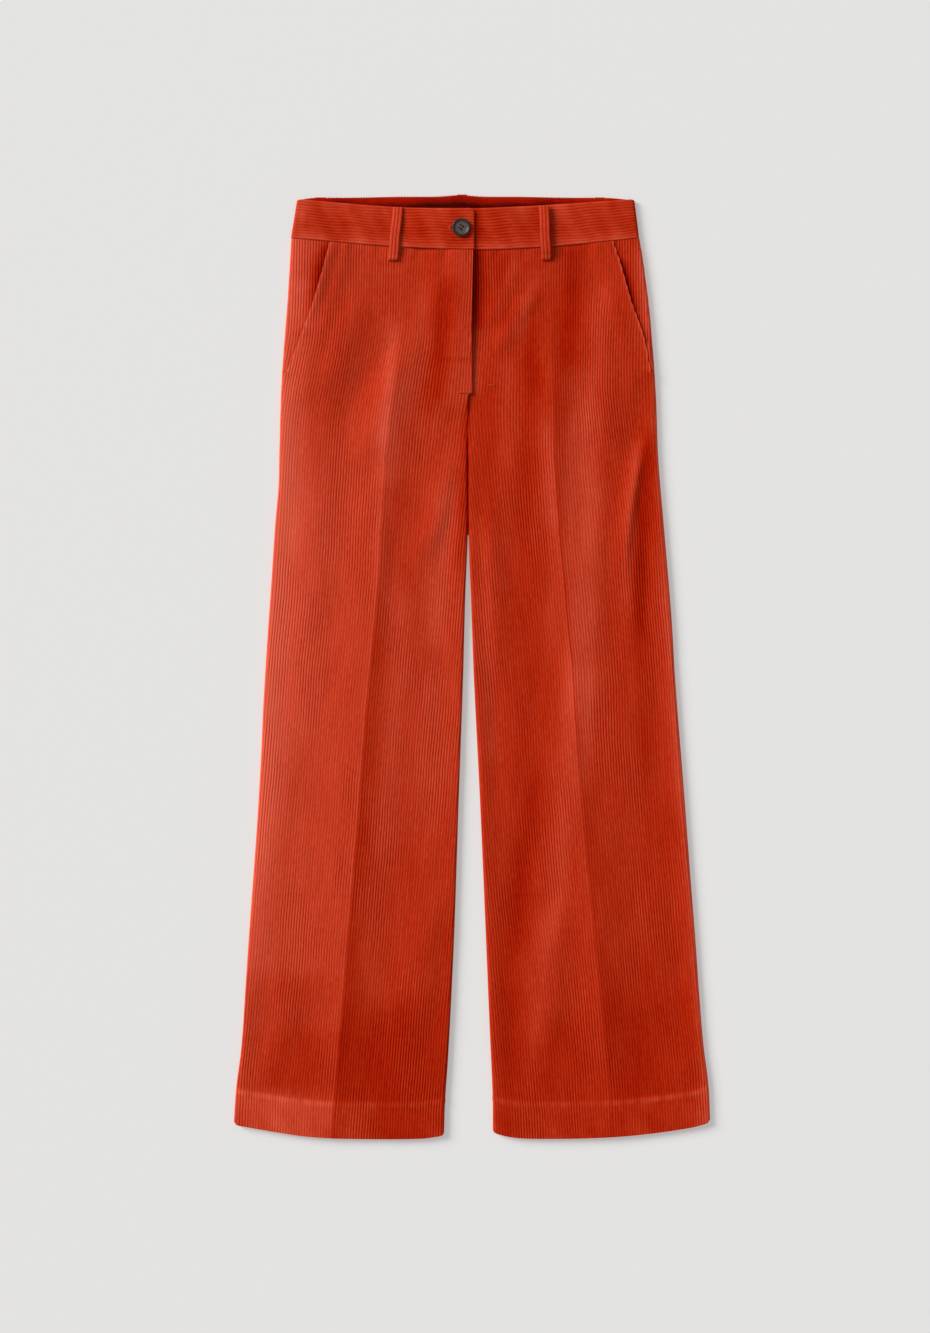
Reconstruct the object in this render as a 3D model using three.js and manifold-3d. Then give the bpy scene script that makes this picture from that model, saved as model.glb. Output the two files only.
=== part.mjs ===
import * as THREE from "three";
import { mergeVertices } from "three/addons/utils/BufferGeometryUtils.js";
import Module from "manifold-3d";

// Wide-leg corduroy trousers, fastened and laid flat on their back.
// Millimetres: x runs across, y up towards the waist, z up from the table that they lie on.

const wasm = await Module();
wasm.setup();

// The cloth and the way it lies
const cloth = {
  wall: 1.2, // front panels, without the wales
  backWall: 1.6, // back panels, their wales pressed flat on the table
  waleHeight: 0.7,
  walePitch: 3.05,
  hemWall: 2.6, // cloth turned up inside the hem
  bandWall: 2.2,
  bandWaleHeight: 0.5,
  seamGap: 0.3,
  waleReach: 150, // the furthest wale from a leg's crease
  sliver: 0.4, // a wale closer than this to an edge ends in it
};
const lie = {
  edgeRadius: 3, // the leg's edges are soft folds, not pressed
  frontHeight: 4.8, // the front's outer face over the middle of a leg
  deepest: -1.2, // the lowest that a hollow sinks from there
  edgeFade: 22, // how far in from a folded edge the cloth sinks
  sideSeamTurn: 0.5, // radians round the fold from its top, so that the seam shows from above
  waistRise: 0.4,
  hemRise: 1.2,
};
const levels = [468, 448, 405, 368, 330, 320, 306, 298, 250, 215, 160, 60, -130, -330, -478, -491, -528];
const crotch = { forkStart: 298, forkEnd: 215 };
const hem = { edge: -528, turn: -491, above: -478, riseFrom: -395 };
const waist = { seam: 468, riseFrom: 405, riseTo: 448, sideSeamY: 479.7 };
const halfTurn = Math.PI / 2;

// Outline and crease of each leg: distances from the middle line, a row for each height
const legs = {
  left: {
    side: -1,
    outline: [
      { y: 480, side: -202.7, crease: -73, inner: -4.8 },
      { y: 411, side: -206, crease: -75, inner: -4.8 },
      { y: 371, side: -209.3, crease: -78, inner: -4.8 },
      { y: 326, side: -212.6, crease: -86, inner: -4.8 },
      { y: 281, side: -214.4, crease: -93.3, inner: -4.8 },
      { y: 245, side: -215.3, crease: -96.3, inner: -4.7 },
      { y: 204, side: -216.2, crease: -98.6, inner: -4.5 },
      { y: 157, side: -220.2, crease: -100.8, inner: -4.4 },
      { y: 83, side: -225.1, crease: -105.3, inner: -7.4 },
      { y: -15, side: -231.8, crease: -114.2, inner: -10.1 },
      { y: -150, side: -238.6, crease: -126.4, inner: -14.9 },
      { y: -306, side: -249.8, crease: -140.6, inner: -20.2 },
      { y: -441, side: -258.7, crease: -152.8, inner: -26.9 },
      { y: -490, side: -264, crease: -157, inner: -30.2 },
      { y: -529, side: -266.4, crease: -159, inner: -31.4 },
    ],
    hemCurve: [
      { x: -267, y: -513.5 },
      { x: -220, y: -521.5 },
      { x: -186, y: -526.5 },
      { x: -142, y: -529 },
      { x: -58, y: -529 },
      { x: -31, y: -525.5 },
    ],
    pocketMouth: [
      { y: 468, x: -159 },
      { y: 448, x: -164.8 },
      { y: 405, x: -179 },
      { y: 368, x: -193 },
      { y: 330, x: -207.5 },
    ],
    mouthGape: 1.6,
  },
  right: {
    side: 1,
    outline: [
      { y: 480, side: 187, crease: 89.4, inner: -4.5 },
      { y: 444, side: 192.6, crease: 89.5, inner: -4.5 },
      { y: 411, side: 197.1, crease: 89.6, inner: -4.5 },
      { y: 371, side: 201, crease: 89.9, inner: -4.5 },
      { y: 306, side: 205.6, crease: 90.7, inner: -4.5 },
      { y: 231, side: 208.3, crease: 93, inner: -4.3 },
      { y: 157, side: 214.6, crease: 98.6, inner: -4 },
      { y: 64, side: 222.5, crease: 106.4, inner: -0.7 },
      { y: -15, side: 227.4, crease: 114.1, inner: 2.2 },
      { y: -150, side: 237.8, crease: 127, inner: 9 },
      { y: -306, side: 249.8, crease: 142.1, inner: 15.7 },
      { y: -441, side: 259.8, crease: 155.1, inner: 21.3 },
      { y: -490, side: 264.9, crease: 158.5, inner: 23.2 },
      { y: -529, side: 266.4, crease: 160.6, inner: 23.4 },
    ],
    hemCurve: [
      { x: 22, y: -522 },
      { x: 42, y: -527 },
      { x: 66, y: -529 },
      { x: 132, y: -528.4 },
      { x: 188, y: -524.7 },
      { x: 244, y: -516.9 },
      { x: 267, y: -511 },
    ],
    pocketMouth: [
      { y: 468, x: 157.5 },
      { y: 448, x: 165 },
      { y: 405, x: 179.6 },
      { y: 368, x: 192.4 },
      { y: 330, x: 200 },
    ],
    mouthGape: 0.5,
  },
};

// Seam between the waistband and the two fronts, higher at the sides
const waistSeam = [
  { x: -203, y: 479.7 },
  { x: -86, y: 470 },
  { x: 2, y: 466.5 },
  { x: 87, y: 470 },
  { x: 188, y: 479.7 },
];

// Ridges and hollows in the fronts: a line from one end to the other, its half width and its height
const creaseFold = { height: 3, reach: 50, startsAt: 430, fullAt: 330, sharpness: 1.5 };
const foldEnds = 3; // a fold fades out over a third of its length at either end
const folds = [
  { leg: "left", fromX: -120, fromY: 425, toX: -172, toY: 298, width: 22, height: 2.6 },
  { leg: "left", fromX: -75, fromY: 396, toX: -165, toY: 254, width: 13, height: -1.1 },
  { leg: "left", fromX: -80, fromY: 352, toX: -128, toY: 215, width: 20, height: 2.2 },
  { leg: "left", fromX: -40, fromY: 415, toX: -50, toY: 262, width: 12, height: -1 },
  { leg: "left", fromX: -18, fromY: 250, toX: -56, toY: 110, width: 13, height: 2.8 },
  { leg: "left", fromX: -78, fromY: 170, toX: -94, toY: 20, width: 15, height: -0.9 },
  { leg: "left", fromX: -46, fromY: -250, toX: -60, toY: -430, width: 24, height: 1.5 },
  { leg: "left", fromX: -196, fromY: -330, toX: -232, toY: -470, width: 20, height: 1.2 },
  { leg: "right", fromX: 95, fromY: 455, toX: 107, toY: 330, width: 12, height: -1.2 },
  { leg: "right", fromX: 140, fromY: 448, toX: 162, toY: 240, width: 24, height: 2.4 },
  { leg: "right", fromX: 70, fromY: 424, toX: 30, toY: 350, width: 11, height: 2 },
  { leg: "right", fromX: 198, fromY: 272, toX: 172, toY: 90, width: 9, height: 3 },
  { leg: "right", fromX: 200, fromY: 205, toX: 192, toY: 20, width: 9, height: -1.2 },
  { leg: "right", fromX: 20, fromY: 215, toX: 32, toY: -40, width: 14, height: 1.8 },
  { leg: "right", fromX: 58, fromY: -140, toX: 50, toY: -325, width: 18, height: -1 },
  { leg: "right", fromX: 100, fromY: -255, toX: 84, toY: -460, width: 22, height: 1.8 },
];

// Fly: the left front laps over the right one and carries a facing on its underside
const fly = {
  lapEdge: [
    { y: 468, x: 1.1 },
    { y: 368, x: -0.6 },
    { y: 306, x: 0 },
  ],
  bottom: 306,
  underEdge: -12, // the right front goes on to here below the lap
  lift: 3.4,
  facingLift: 1.9,
  liftFull: 14, // distances in from the lap's edge
  liftFacing: 37,
  liftEnd: 62,
  liftGone: 262,
  facingWidth: [
    { y: 468, width: 36 },
    { y: 368, width: 36 },
    { y: 330, width: 33 },
    { y: 307.5, width: 15 },
  ],
  layerGap: 0.45,
  facingSteps: [37, 24, 14, 6, 2], // places across the facing, in from the lap's edge
  stepShrink: 0.02, // keeps the places apart where the facing is narrow
};

const pocket = {
  lift: 1.7,
  under: 15, // how far the facing goes on below the front
  liftFull: 17,
  liftEnd: 36,
  gapeReach: 14,
  gapeGrows: 70, // the mouth gapes more and more over this height
  bottom: 330,
  liftGone: 280,
  facingEnd: 331,
};

const band = {
  edgeRadius: 3.2,
  frontTop: [
    { x: -197, y: 523.6 },
    { x: -81, y: 514.6 },
    { x: -2, y: 513.4 },
    { x: 82, y: 517 },
    { x: 182, y: 523.6 },
  ],
  backTop: [
    { x: -197, y: 523.6 },
    { x: -176, y: 526 },
    { x: -15.7, y: 526.6 },
    { x: 150, y: 526 },
    { x: 182, y: 523.6 },
  ],
  leftSide: { bottom: -202.7, top: -197 },
  rightSide: { bottom: 187, top: 181.6 },
  wales: 14,
  lapEdge: 2.8,
  lapCorner: 5,
  underEnd: -36,
  overHeight: 9.4,
  overFull: -40,
  overStart: -84,
};

const loopSize = { width: 11.2, wall: 1.8, ridge: 0.4, arch: 0.9, clearance: 0.35 };
const frontLoops = [
  { name: "belt_loop_front_left", topX: -82.9, bottomX: -88.6, top: 514.3, bottom: 454.5 },
  { name: "belt_loop_front_right", topX: 80.4, bottomX: 83.2, top: 515.6, bottom: 455 },
];
const backLoops = [
  { name: "belt_loop_back_left", x: -170, top: 526, bottom: 455 },
  { name: "belt_loop_back_centre", x: -11.2, top: 529.2, bottom: 455 },
  { name: "belt_loop_back_right", x: 143.4, top: 526, bottom: 455 },
];
const backLoopWall = 1.4;
const backLoopLift = { height: 1.75, full: 7.5, end: 30, goneAt: 405, fullAt: 448 };

const button = { x: -12, y: 491.2, radius: 10.2, thickness: 3.2, holeRadius: 0.95, holeOffset: 2.6, turned: 10 };

const colours = { corduroy: 0xb83a22, inside: 0x8a2716, horn: 0x4e3f3a };

// Small mathematics
function smooth(t) {
  const c = THREE.MathUtils.clamp(t, 0, 1);
  return c * c * (3 - 2 * c);
}

// A value from a table, on a smooth curve through its rows
function read(rows, along, key, at) {
  const sorted = rows[0][along] < rows.at(-1)[along] ? rows : [...rows].reverse();
  const last = sorted.length - 1;
  if (at <= sorted[0][along]) return sorted[0][key];
  if (at >= sorted[last][along]) return sorted[last][key];
  const i = sorted.findIndex((row) => row[along] > at) - 1;
  const slope = (k) => {
    const a = sorted[Math.max(k - 1, 0)];
    const b = sorted[Math.min(k + 1, last)];
    return (b[key] - a[key]) / (b[along] - a[along]);
  };
  const span = sorted[i + 1][along] - sorted[i][along];
  const t = (at - sorted[i][along]) / span;
  const t2 = t * t;
  const t3 = t2 * t;
  return (
    (2 * t3 - 3 * t2 + 1) * sorted[i][key] +
    (t3 - 2 * t2 + t) * span * slope(i) +
    (3 * t2 - 2 * t3) * sorted[i + 1][key] +
    (t3 - t2) * span * slope(i + 1)
  );
}

// Edges of a leg at one level: where the flat part ends and how far round the fold goes
function legEnds(leg, level) {
  const crease = read(leg.outline, "y", "crease", level);
  const fork = smooth((crotch.forkStart - level) / (crotch.forkStart - crotch.forkEnd));
  const sideEnd = { edge: read(leg.outline, "y", "side", level), roll: 1, turn: lie.sideSeamTurn };
  const innerEnd = { edge: read(leg.outline, "y", "inner", level), roll: fork, turn: fork * halfTurn };
  const ends = leg.side < 0 ? { left: sideEnd, right: innerEnd } : { left: innerEnd, right: sideEnd };
  for (const end of [ends.left, ends.right]) {
    end.flat = Math.abs(end.edge - crease) - lie.edgeRadius * Math.sin(end.roll * halfTurn);
  }
  return { crease, ...ends };
}

// Height up the garment of a point's row, bent to the waist seam above and the hem below
function bentY(leg, level, x, seam) {
  const atWaist = smooth((level - waist.riseFrom) / (waist.seam - waist.riseFrom));
  const atHem = smooth((hem.riseFrom - level) / (hem.riseFrom - hem.above));
  const seamY = seam ? read(seam, "x", "y", x) : waist.sideSeamY;
  const hemY = read(leg.hemCurve, "x", "y", x);
  return level + (seamY - waist.seam) * atWaist + (hemY - hem.edge) * atHem;
}

// Soft ridge or hollow along a line, tapering to its ends
function foldHeight(fold, x, y) {
  const alongX = fold.toX - fold.fromX;
  const alongY = fold.toY - fold.fromY;
  const length = Math.hypot(alongX, alongY);
  const t = ((x - fold.fromX) * alongX + (y - fold.fromY) * alongY) / (length * length);
  const away = ((x - fold.fromX) * alongY - (y - fold.fromY) * alongX) / length;
  const taper = smooth(t * foldEnds) * smooth((1 - t) * foldEnds);
  return fold.height * taper * Math.exp(-((away / fold.width) ** 2));
}

function frontFolds(legName, across, x, y) {
  const rise = smooth((creaseFold.startsAt - y) / (creaseFold.startsAt - creaseFold.fullAt));
  const tent = Math.max(0, 1 - Math.abs(across) / creaseFold.reach) ** creaseFold.sharpness;
  const own = folds.filter((fold) => fold.leg === legName);
  const sum = own.reduce((total, fold) => total + foldHeight(fold, x, y), 0);
  return Math.max(creaseFold.height * rise * tent + sum, lie.deepest);
}

// Outer face of the front layer over the flat part of a leg
function frontHeight(legName, ends, across, x, y, level) {
  const end = across < 0 ? ends.left : ends.right;
  const inFromEdge = end.flat - Math.abs(across);
  const edge = end.roll * (1 - smooth(inFromEdge / lie.edgeFade));
  const atWaist = smooth((level - waist.riseFrom) / (waist.riseTo - waist.riseFrom));
  const atHem = smooth((hem.riseFrom - level) / (hem.riseFrom - hem.above));
  const calm = 1 - Math.max(atWaist, atHem);
  const middle = lie.frontHeight + lie.waistRise * atWaist + lie.hemRise * atHem;
  const bumpy = middle + calm * frontFolds(legName, across, x, y);
  return THREE.MathUtils.lerp(bumpy, 2 * lie.edgeRadius, edge);
}

// Point of a leg's front layer: across is measured in the cloth from the crease, out from its outer face
function frontPoint(legName, across, level, out, lift = () => 0) {
  const leg = legs[legName];
  const ends = legEnds(leg, level);
  const end = across < 0 ? ends.left : ends.right;
  const past = Math.abs(across) - end.flat;
  const turn = past > 0 && end.roll > 0 ? past / lie.edgeRadius : 0;
  const direction = Math.sign(across);
  const flatAcross = turn > 0 ? direction * end.flat : across;
  const x = ends.crease + flatAcross + direction * lie.edgeRadius * Math.sin(turn);
  const y = bentY(leg, level, x, waistSeam);
  const z = frontHeight(legName, ends, flatAcross, x, y, level) + lift(x, level, ends);
  return new THREE.Vector3(
    x + direction * Math.sin(turn) * out,
    y,
    z - lie.edgeRadius * (1 - Math.cos(turn)) + Math.cos(turn) * out,
  );
}

// Rise of the back over the belt loops that lie between it and the table
function loopLift(x, level) {
  const fade = smooth((level - backLoopLift.goneAt) / (backLoopLift.fullAt - backLoopLift.goneAt));
  const { full, end, height } = backLoopLift;
  const near = backLoops.map((loop) => 1 - smooth((Math.abs(x - loop.x) - full) / (end - full)));
  return height * fade * Math.max(...near);
}

// Point of a leg's back layer, flat on the table with its edges folded up to meet the front
function backPoint(legName, across, level, out) {
  const leg = legs[legName];
  const ends = legEnds(leg, level);
  const end = across < 0 ? ends.left : ends.right;
  const past = Math.abs(across) - end.flat;
  const turn = past > 0 && end.roll > 0 ? past / lie.edgeRadius : 0;
  const direction = Math.sign(across);
  const flatAcross = turn > 0 ? direction * end.flat : across;
  const x = ends.crease + flatAcross + direction * lie.edgeRadius * Math.sin(turn);
  const lift = loopLift(x, level) * Math.cos(Math.min(turn, halfTurn));
  return new THREE.Vector3(
    x + direction * Math.sin(turn) * out,
    bentY(leg, level, x, null),
    lift + lie.edgeRadius * (1 - Math.cos(turn)) - Math.cos(turn) * out,
  );
}

// A closed wall of cloth between an outer and an inner grid. Both have rows from the top down and
// columns from left to right, and "at" holds each point's place along its row.
function clothWall(name, outer, inner, facesUp, colour) {
  const positions = [];
  const triangles = [];
  const addTriangle = (a, b, c) => {
    if (a === b || b === c || a === c) return;
    triangles.push(...(facesUp ? [a, b, c] : [a, c, b]));
  };
  // Points closer than a hundredth of a millimetre in a row are one corner
  const number = (grid) =>
    grid.rows.map((row) => {
      let index = -1;
      let last = null;
      return row.map((point) => {
        if (!last || point.distanceTo(last) > 0.01) {
          index = positions.push(point) - 1;
          last = point;
        }
        return index;
      });
    });
  const fill = (grid, flip) => {
    for (let i = 0; i + 1 < grid.length; i += 1) {
      for (let k = 0; k + 1 < grid[i].length; k += 1) {
        const [a, b, c, d] = [grid[i][k], grid[i][k + 1], grid[i + 1][k], grid[i + 1][k + 1]];
        if (flip) {
          addTriangle(a, b, c);
          addTriangle(b, d, c);
        } else {
          addTriangle(a, c, b);
          addTriangle(b, c, d);
        }
      }
    }
  };
  // Closes the gap between an edge of the outer grid and the same edge of the inner one
  const zip = (outerLine, innerLine, outerAt, innerAt, flip) => {
    let a = 0;
    let b = 0;
    const add = (p, q, r) => (flip ? addTriangle(p, r, q) : addTriangle(p, q, r));
    while (a + 1 < outerLine.length || b + 1 < innerLine.length) {
      const innerDone = b + 1 >= innerLine.length;
      const outerNext = a + 1 < outerLine.length && (innerDone || outerAt[a + 1] <= innerAt[b + 1]);
      if (outerNext) {
        add(outerLine[a], outerLine[a + 1], innerLine[b]);
        a += 1;
      } else {
        add(outerLine[a], innerLine[b + 1], innerLine[b]);
        b += 1;
      }
    }
  };
  const outerIndex = number(outer);
  const innerIndex = number(inner);
  fill(outerIndex, false);
  fill(innerIndex, true);
  const side = (grid, end) => grid.map((row) => row.at(end));
  zip(outerIndex[0], innerIndex[0], outer.across[0], inner.across[0], false);
  zip(outerIndex.at(-1), innerIndex.at(-1), outer.across.at(-1), inner.across.at(-1), true);
  zip(side(outerIndex, 0), side(innerIndex, 0), outer.down, inner.down, true);
  zip(side(outerIndex, -1), side(innerIndex, -1), outer.down, inner.down, false);
  const geometry = new THREE.BufferGeometry().setFromPoints(positions);
  geometry.setIndex(triangles);
  geometry.computeVertexNormals();
  const material = new THREE.MeshStandardMaterial({ color: colour, roughness: 0.95, metalness: 0 });
  const mesh = new THREE.Mesh(geometry, material);
  mesh.name = name;
  return mesh;
}

// A grid of points: the places along each row come from a function, as do the points
function grid(rowLevels, placesOf, pointOf) {
  const across = rowLevels.map(placesOf);
  const rows = across.map((places, i) => places.map((place, k) => pointOf(place, rowLevels[i], k, places)));
  return { rows, across, down: rowLevels.map((level) => -level) };
}

// Places on the tops and in the grooves of the wales between two ends, held at the ends past them
function walePlaces(from, to) {
  const half = cloth.walePitch / 2;
  const first = -Math.ceil(cloth.waleReach / half);
  const places = [];
  for (let k = first; k <= -first; k += 1) {
    const place = k * half;
    const held = place < from + cloth.sliver ? from : place > to - cloth.sliver ? to : place;
    places.push(held);
  }
  return { places, first };
}

// Plain places for an inner face: close together at the ends, where the cloth turns
function plainPlaces(from, to, nearLeft, nearRight, middles) {
  const left = nearLeft.map((distance) => from + distance);
  const right = nearRight.map((distance) => to - distance).reverse();
  const start = left.at(-1);
  const step = (right[0] - start) / (middles + 1);
  const middle = Array.from({ length: middles }, (unused, k) => start + step * (k + 1));
  return [...left, ...middle, ...right];
}

const foldedEnd = [0, 0.8, 1.6, 3.2, 4.8, 12, 20];
const flatEnd = [0, 2, 6, 14, 24, 37];

function waleAt(place, k, first, places) {
  const isTop = (k + first) % 2 === 0;
  const held = place === places[0] || place === places.at(-1);
  return isTop && !held ? 1 : 0;
}

// Limits of a front panel along a row, in the cloth from the crease
function frontLimits(legName, level) {
  const leg = legs[legName];
  const ends = legEnds(leg, level);
  const reach = (end) => end.flat + lie.edgeRadius * end.turn - cloth.seamGap / 2;
  const innerEnd = leg.side < 0 ? ends.right : ends.left;
  const sideEnd = leg.side < 0 ? ends.left : ends.right;
  let innerReach = innerEnd.roll > 0 ? reach(innerEnd) : Math.abs(innerEnd.edge - ends.crease);
  if (level >= fly.bottom) {
    const edge = legName === "left" ? read(fly.lapEdge, "y", "x", level) : fly.underEdge;
    innerReach = Math.abs(edge - ends.crease);
  }
  let sideReach = reach(sideEnd);
  if (level >= pocket.bottom) {
    sideReach = Math.abs(read(leg.pocketMouth, "y", "x", level) - ends.crease);
  }
  return leg.side < 0 ? { from: -sideReach, to: innerReach } : { from: -innerReach, to: sideReach };
}

// How far the front is lifted by the pocket's facing and by the layers of the fly
function frontLift(legName) {
  const leg = legs[legName];
  return (x, level, ends) => {
    const mouth = read(leg.pocketMouth, "y", "x", level);
    const inFromMouth = (mouth - x) * leg.side;
    const full = 1 - smooth((inFromMouth - pocket.liftFull) / (pocket.liftEnd - pocket.liftFull));
    const gape = leg.mouthGape * (1 - smooth(inFromMouth / pocket.gapeReach));
    const top = smooth((level - pocket.bottom) / pocket.gapeGrows);
    const sideEnd = leg.side < 0 ? ends.left : ends.right;
    const inFromEdge = Math.abs(sideEnd.edge - x) - lie.edgeRadius;
    const below = smooth((level - pocket.liftGone) / (pocket.bottom - pocket.liftGone));
    const away = smooth(inFromEdge / lie.edgeFade);
    const pocketRise = level >= pocket.bottom ? pocket.lift * full + gape * top : pocket.lift * full * below * away;
    if (legName === "right") return pocketRise;
    const edge = read(fly.lapEdge, "y", "x", level);
    const inFromLap = edge - x;
    const near = smooth((inFromLap - fly.liftFull) / (fly.liftFacing - fly.liftFull));
    const far = smooth((inFromLap - fly.liftFacing) / (fly.liftEnd - fly.liftFacing));
    const fade = smooth((level - fly.liftGone) / (fly.bottom - fly.liftGone));
    const flyRise = THREE.MathUtils.lerp(fly.lift, fly.facingLift, near) * (1 - far) * fade;
    return pocketRise + flyRise;
  };
}

// Height of the wales: none where the cloth turns under at the fork
function waleHeight(legName, across, level, x) {
  const leg = legs[legName];
  const ends = legEnds(leg, level);
  const end = across < 0 ? ends.left : ends.right;
  const past = Math.max(0, Math.abs(across) - end.flat) / lie.edgeRadius;
  const turned = end.roll > 0 ? Math.cos(Math.min(past, halfTurn)) : 1;
  const covered = legName === "right" && level >= crotch.forkStart - 1 ? smooth((x - 0.5) / 3) : 1;
  return cloth.waleHeight * turned * covered;
}

function frontPanel(legName) {
  const lift = frontLift(legName);
  const limits = (level) => frontLimits(legName, level);
  let first = 0;
  const outer = grid(
    levels,
    (level) => {
      const made = walePlaces(limits(level).from, limits(level).to);
      first = made.first;
      return made.places;
    },
    (place, level, k, places) => {
      const plain = frontPoint(legName, place, level, 0, lift);
      const wale = waleAt(place, k, first, places);
      if (wale === 0) return plain;
      return frontPoint(legName, place, level, waleHeight(legName, place, level, plain.x), lift);
    },
  );
  const nearLeft = legName === "left" ? foldedEnd : flatEnd;
  const nearRight = legName === "left" ? flatEnd : foldedEnd;
  const inner = grid(
    levels,
    (level) => {
      const { from, to } = limits(level);
      const forked = level < crotch.forkStart;
      const left = legName === "right" && forked ? foldedEnd.slice(0, flatEnd.length) : nearLeft;
      const right = legName === "left" && forked ? foldedEnd.slice(0, flatEnd.length) : nearRight;
      return plainPlaces(from, to, left, right, 6);
    },
    (place, level) => {
      const wall = level <= hem.turn ? cloth.hemWall : cloth.wall;
      return frontPoint(legName, place, level, -wall, lift);
    },
  );
  return clothWall(`front_leg_${legName}`, outer, inner, true, colours.corduroy);
}

function backPanel(legName) {
  const leg = legs[legName];
  const limits = (level) => {
    const ends = legEnds(leg, level);
    const reachOf = (end, turn) => {
      if (end.roll === 0) return Math.abs(end.edge - ends.crease);
      return end.flat + lie.edgeRadius * turn - cloth.seamGap / 2;
    };
    const full = Math.PI - lie.sideSeamTurn;
    return {
      from: -reachOf(ends.left, leg.side < 0 ? full : ends.left.turn),
      to: reachOf(ends.right, leg.side < 0 ? ends.right.turn : full),
    };
  };
  // Wales show only where the back comes round the side fold
  const sideFold = [0, 0.9, 2.4, 3.9, 5.4, 6.9, 8.1, 14];
  const innerFold = [0, 1.6, 3.2, 4.8, 12];
  const nearLeft = leg.side < 0 ? sideFold : innerFold;
  const nearRight = leg.side < 0 ? innerFold : sideFold;
  const places = (level) => plainPlaces(limits(level).from, limits(level).to, nearLeft, nearRight, 9);
  const outer = grid(levels, places, (place, level, k, all) => {
    const fromSide = leg.side < 0 ? k : all.length - 1 - k;
    const raised = fromSide === 2 || fromSide === 4;
    return backPoint(legName, place, level, raised ? cloth.waleHeight : 0);
  });
  const inner = grid(levels, places, (place, level) => {
    const wall = level <= hem.turn ? cloth.hemWall : cloth.backWall;
    return backPoint(legName, place, level, -wall);
  });
  return clothWall(`back_leg_${legName}`, outer, inner, false, colours.corduroy);
}

// Facing behind a slant pocket: it fills the hip between the pocket's mouth and the side seam
function pocketFacing(legName) {
  const leg = legs[legName];
  const rows = [...levels.filter((level) => level > pocket.facingEnd), pocket.facingEnd];
  const limits = (level) => {
    const ends = legEnds(leg, level);
    const sideEnd = leg.side < 0 ? ends.left : ends.right;
    const sideReach = sideEnd.flat + lie.edgeRadius * sideEnd.turn - cloth.seamGap / 2;
    const mouth = Math.abs(read(leg.pocketMouth, "y", "x", level) - ends.crease);
    const hidden = mouth - pocket.under;
    return leg.side < 0 ? { from: -sideReach, to: -hidden } : { from: hidden, to: sideReach };
  };
  let first = 0;
  const outer = grid(
    rows,
    (level) => {
      const made = walePlaces(limits(level).from, limits(level).to);
      first = made.first;
      return made.places;
    },
    (place, level, k, places) => {
      const ends = legEnds(leg, level);
      const mouth = Math.abs(read(leg.pocketMouth, "y", "x", level) - ends.crease);
      const showing = smooth((Math.abs(place) - mouth - 0.5) / 2);
      const wale = waleAt(place, k, first, places) * showing;
      return frontPoint(legName, place, level, cloth.waleHeight * wale);
    },
  );
  const nearLeft = leg.side < 0 ? foldedEnd.slice(0, 6) : [0];
  const nearRight = leg.side < 0 ? [0] : foldedEnd.slice(0, 6);
  const inner = grid(
    rows,
    (level) => plainPlaces(limits(level).from, limits(level).to, nearLeft, nearRight, 2),
    (place, level) => frontPoint(legName, place, level, -cloth.wall),
  );
  return clothWall(`pocket_facing_${legName}`, outer, inner, true, colours.corduroy);
}

// Facing under the edge of the fly, between the two fronts, with a curved lower end
function flyFacing() {
  const rows = [...levels.filter((level) => level > fly.bottom), fly.bottom + 1.5];
  const lift = frontLift("left");
  const places = (level) => {
    const ends = legEnds(legs.left, level);
    const edge = read(fly.lapEdge, "y", "x", level) - ends.crease;
    const width = read(fly.facingWidth, "y", "width", level);
    return fly.facingSteps.map((distance) => edge - Math.min(distance, width + distance * fly.stepShrink));
  };
  const outer = grid(rows, places, (place, level) =>
    frontPoint("left", place, level, -cloth.wall - fly.layerGap, lift),
  );
  const inner = grid(rows, places, (place, level) =>
    frontPoint("left", place, level, -2 * cloth.wall - fly.layerGap, lift),
  );
  return clothWall("fly_facing", outer, inner, true, colours.inside);
}

// Edges of the waistband at a share of its height, from its seam up
function bandEnds(share) {
  const { leftSide, rightSide } = band;
  return {
    left: THREE.MathUtils.lerp(leftSide.bottom, leftSide.top, share),
    right: THREE.MathUtils.lerp(rightSide.bottom, rightSide.top, share),
  };
}

// Point of the waistband: across is x on its flat part, and runs on round the fold at its sides
function bandPoint(across, share, out, isFront, over) {
  const ends = bandEnds(share);
  const radius = band.edgeRadius;
  const leftFlat = ends.left + radius;
  const rightFlat = ends.right - radius;
  const direction = across < leftFlat ? -1 : 1;
  const past = Math.max(leftFlat - across, across - rightFlat, 0);
  const turn = past / radius;
  const flat = THREE.MathUtils.clamp(across, leftFlat, rightFlat);
  const x = flat + direction * radius * Math.sin(turn);
  const seamY = isFront ? read(waistSeam, "x", "y", x) : waist.sideSeamY;
  const topY = read(isFront ? band.frontTop : band.backTop, "x", "y", x);
  const y = THREE.MathUtils.lerp(seamY + cloth.seamGap, topY, share);
  const sideways = x + direction * Math.sin(turn) * out;
  if (!isFront) {
    const lift = loopLift(x, waist.seam) * Math.cos(Math.min(turn, halfTurn));
    return new THREE.Vector3(sideways, y, lift + radius * (1 - Math.cos(turn)) - Math.cos(turn) * out);
  }
  const rise = over ? smooth((x - band.overStart) / (band.overFull - band.overStart)) : 0;
  const height = THREE.MathUtils.lerp(2 * radius, band.overHeight, rise);
  return new THREE.Vector3(sideways, y, height - radius * (1 - Math.cos(turn)) + Math.cos(turn) * out);
}

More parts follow.
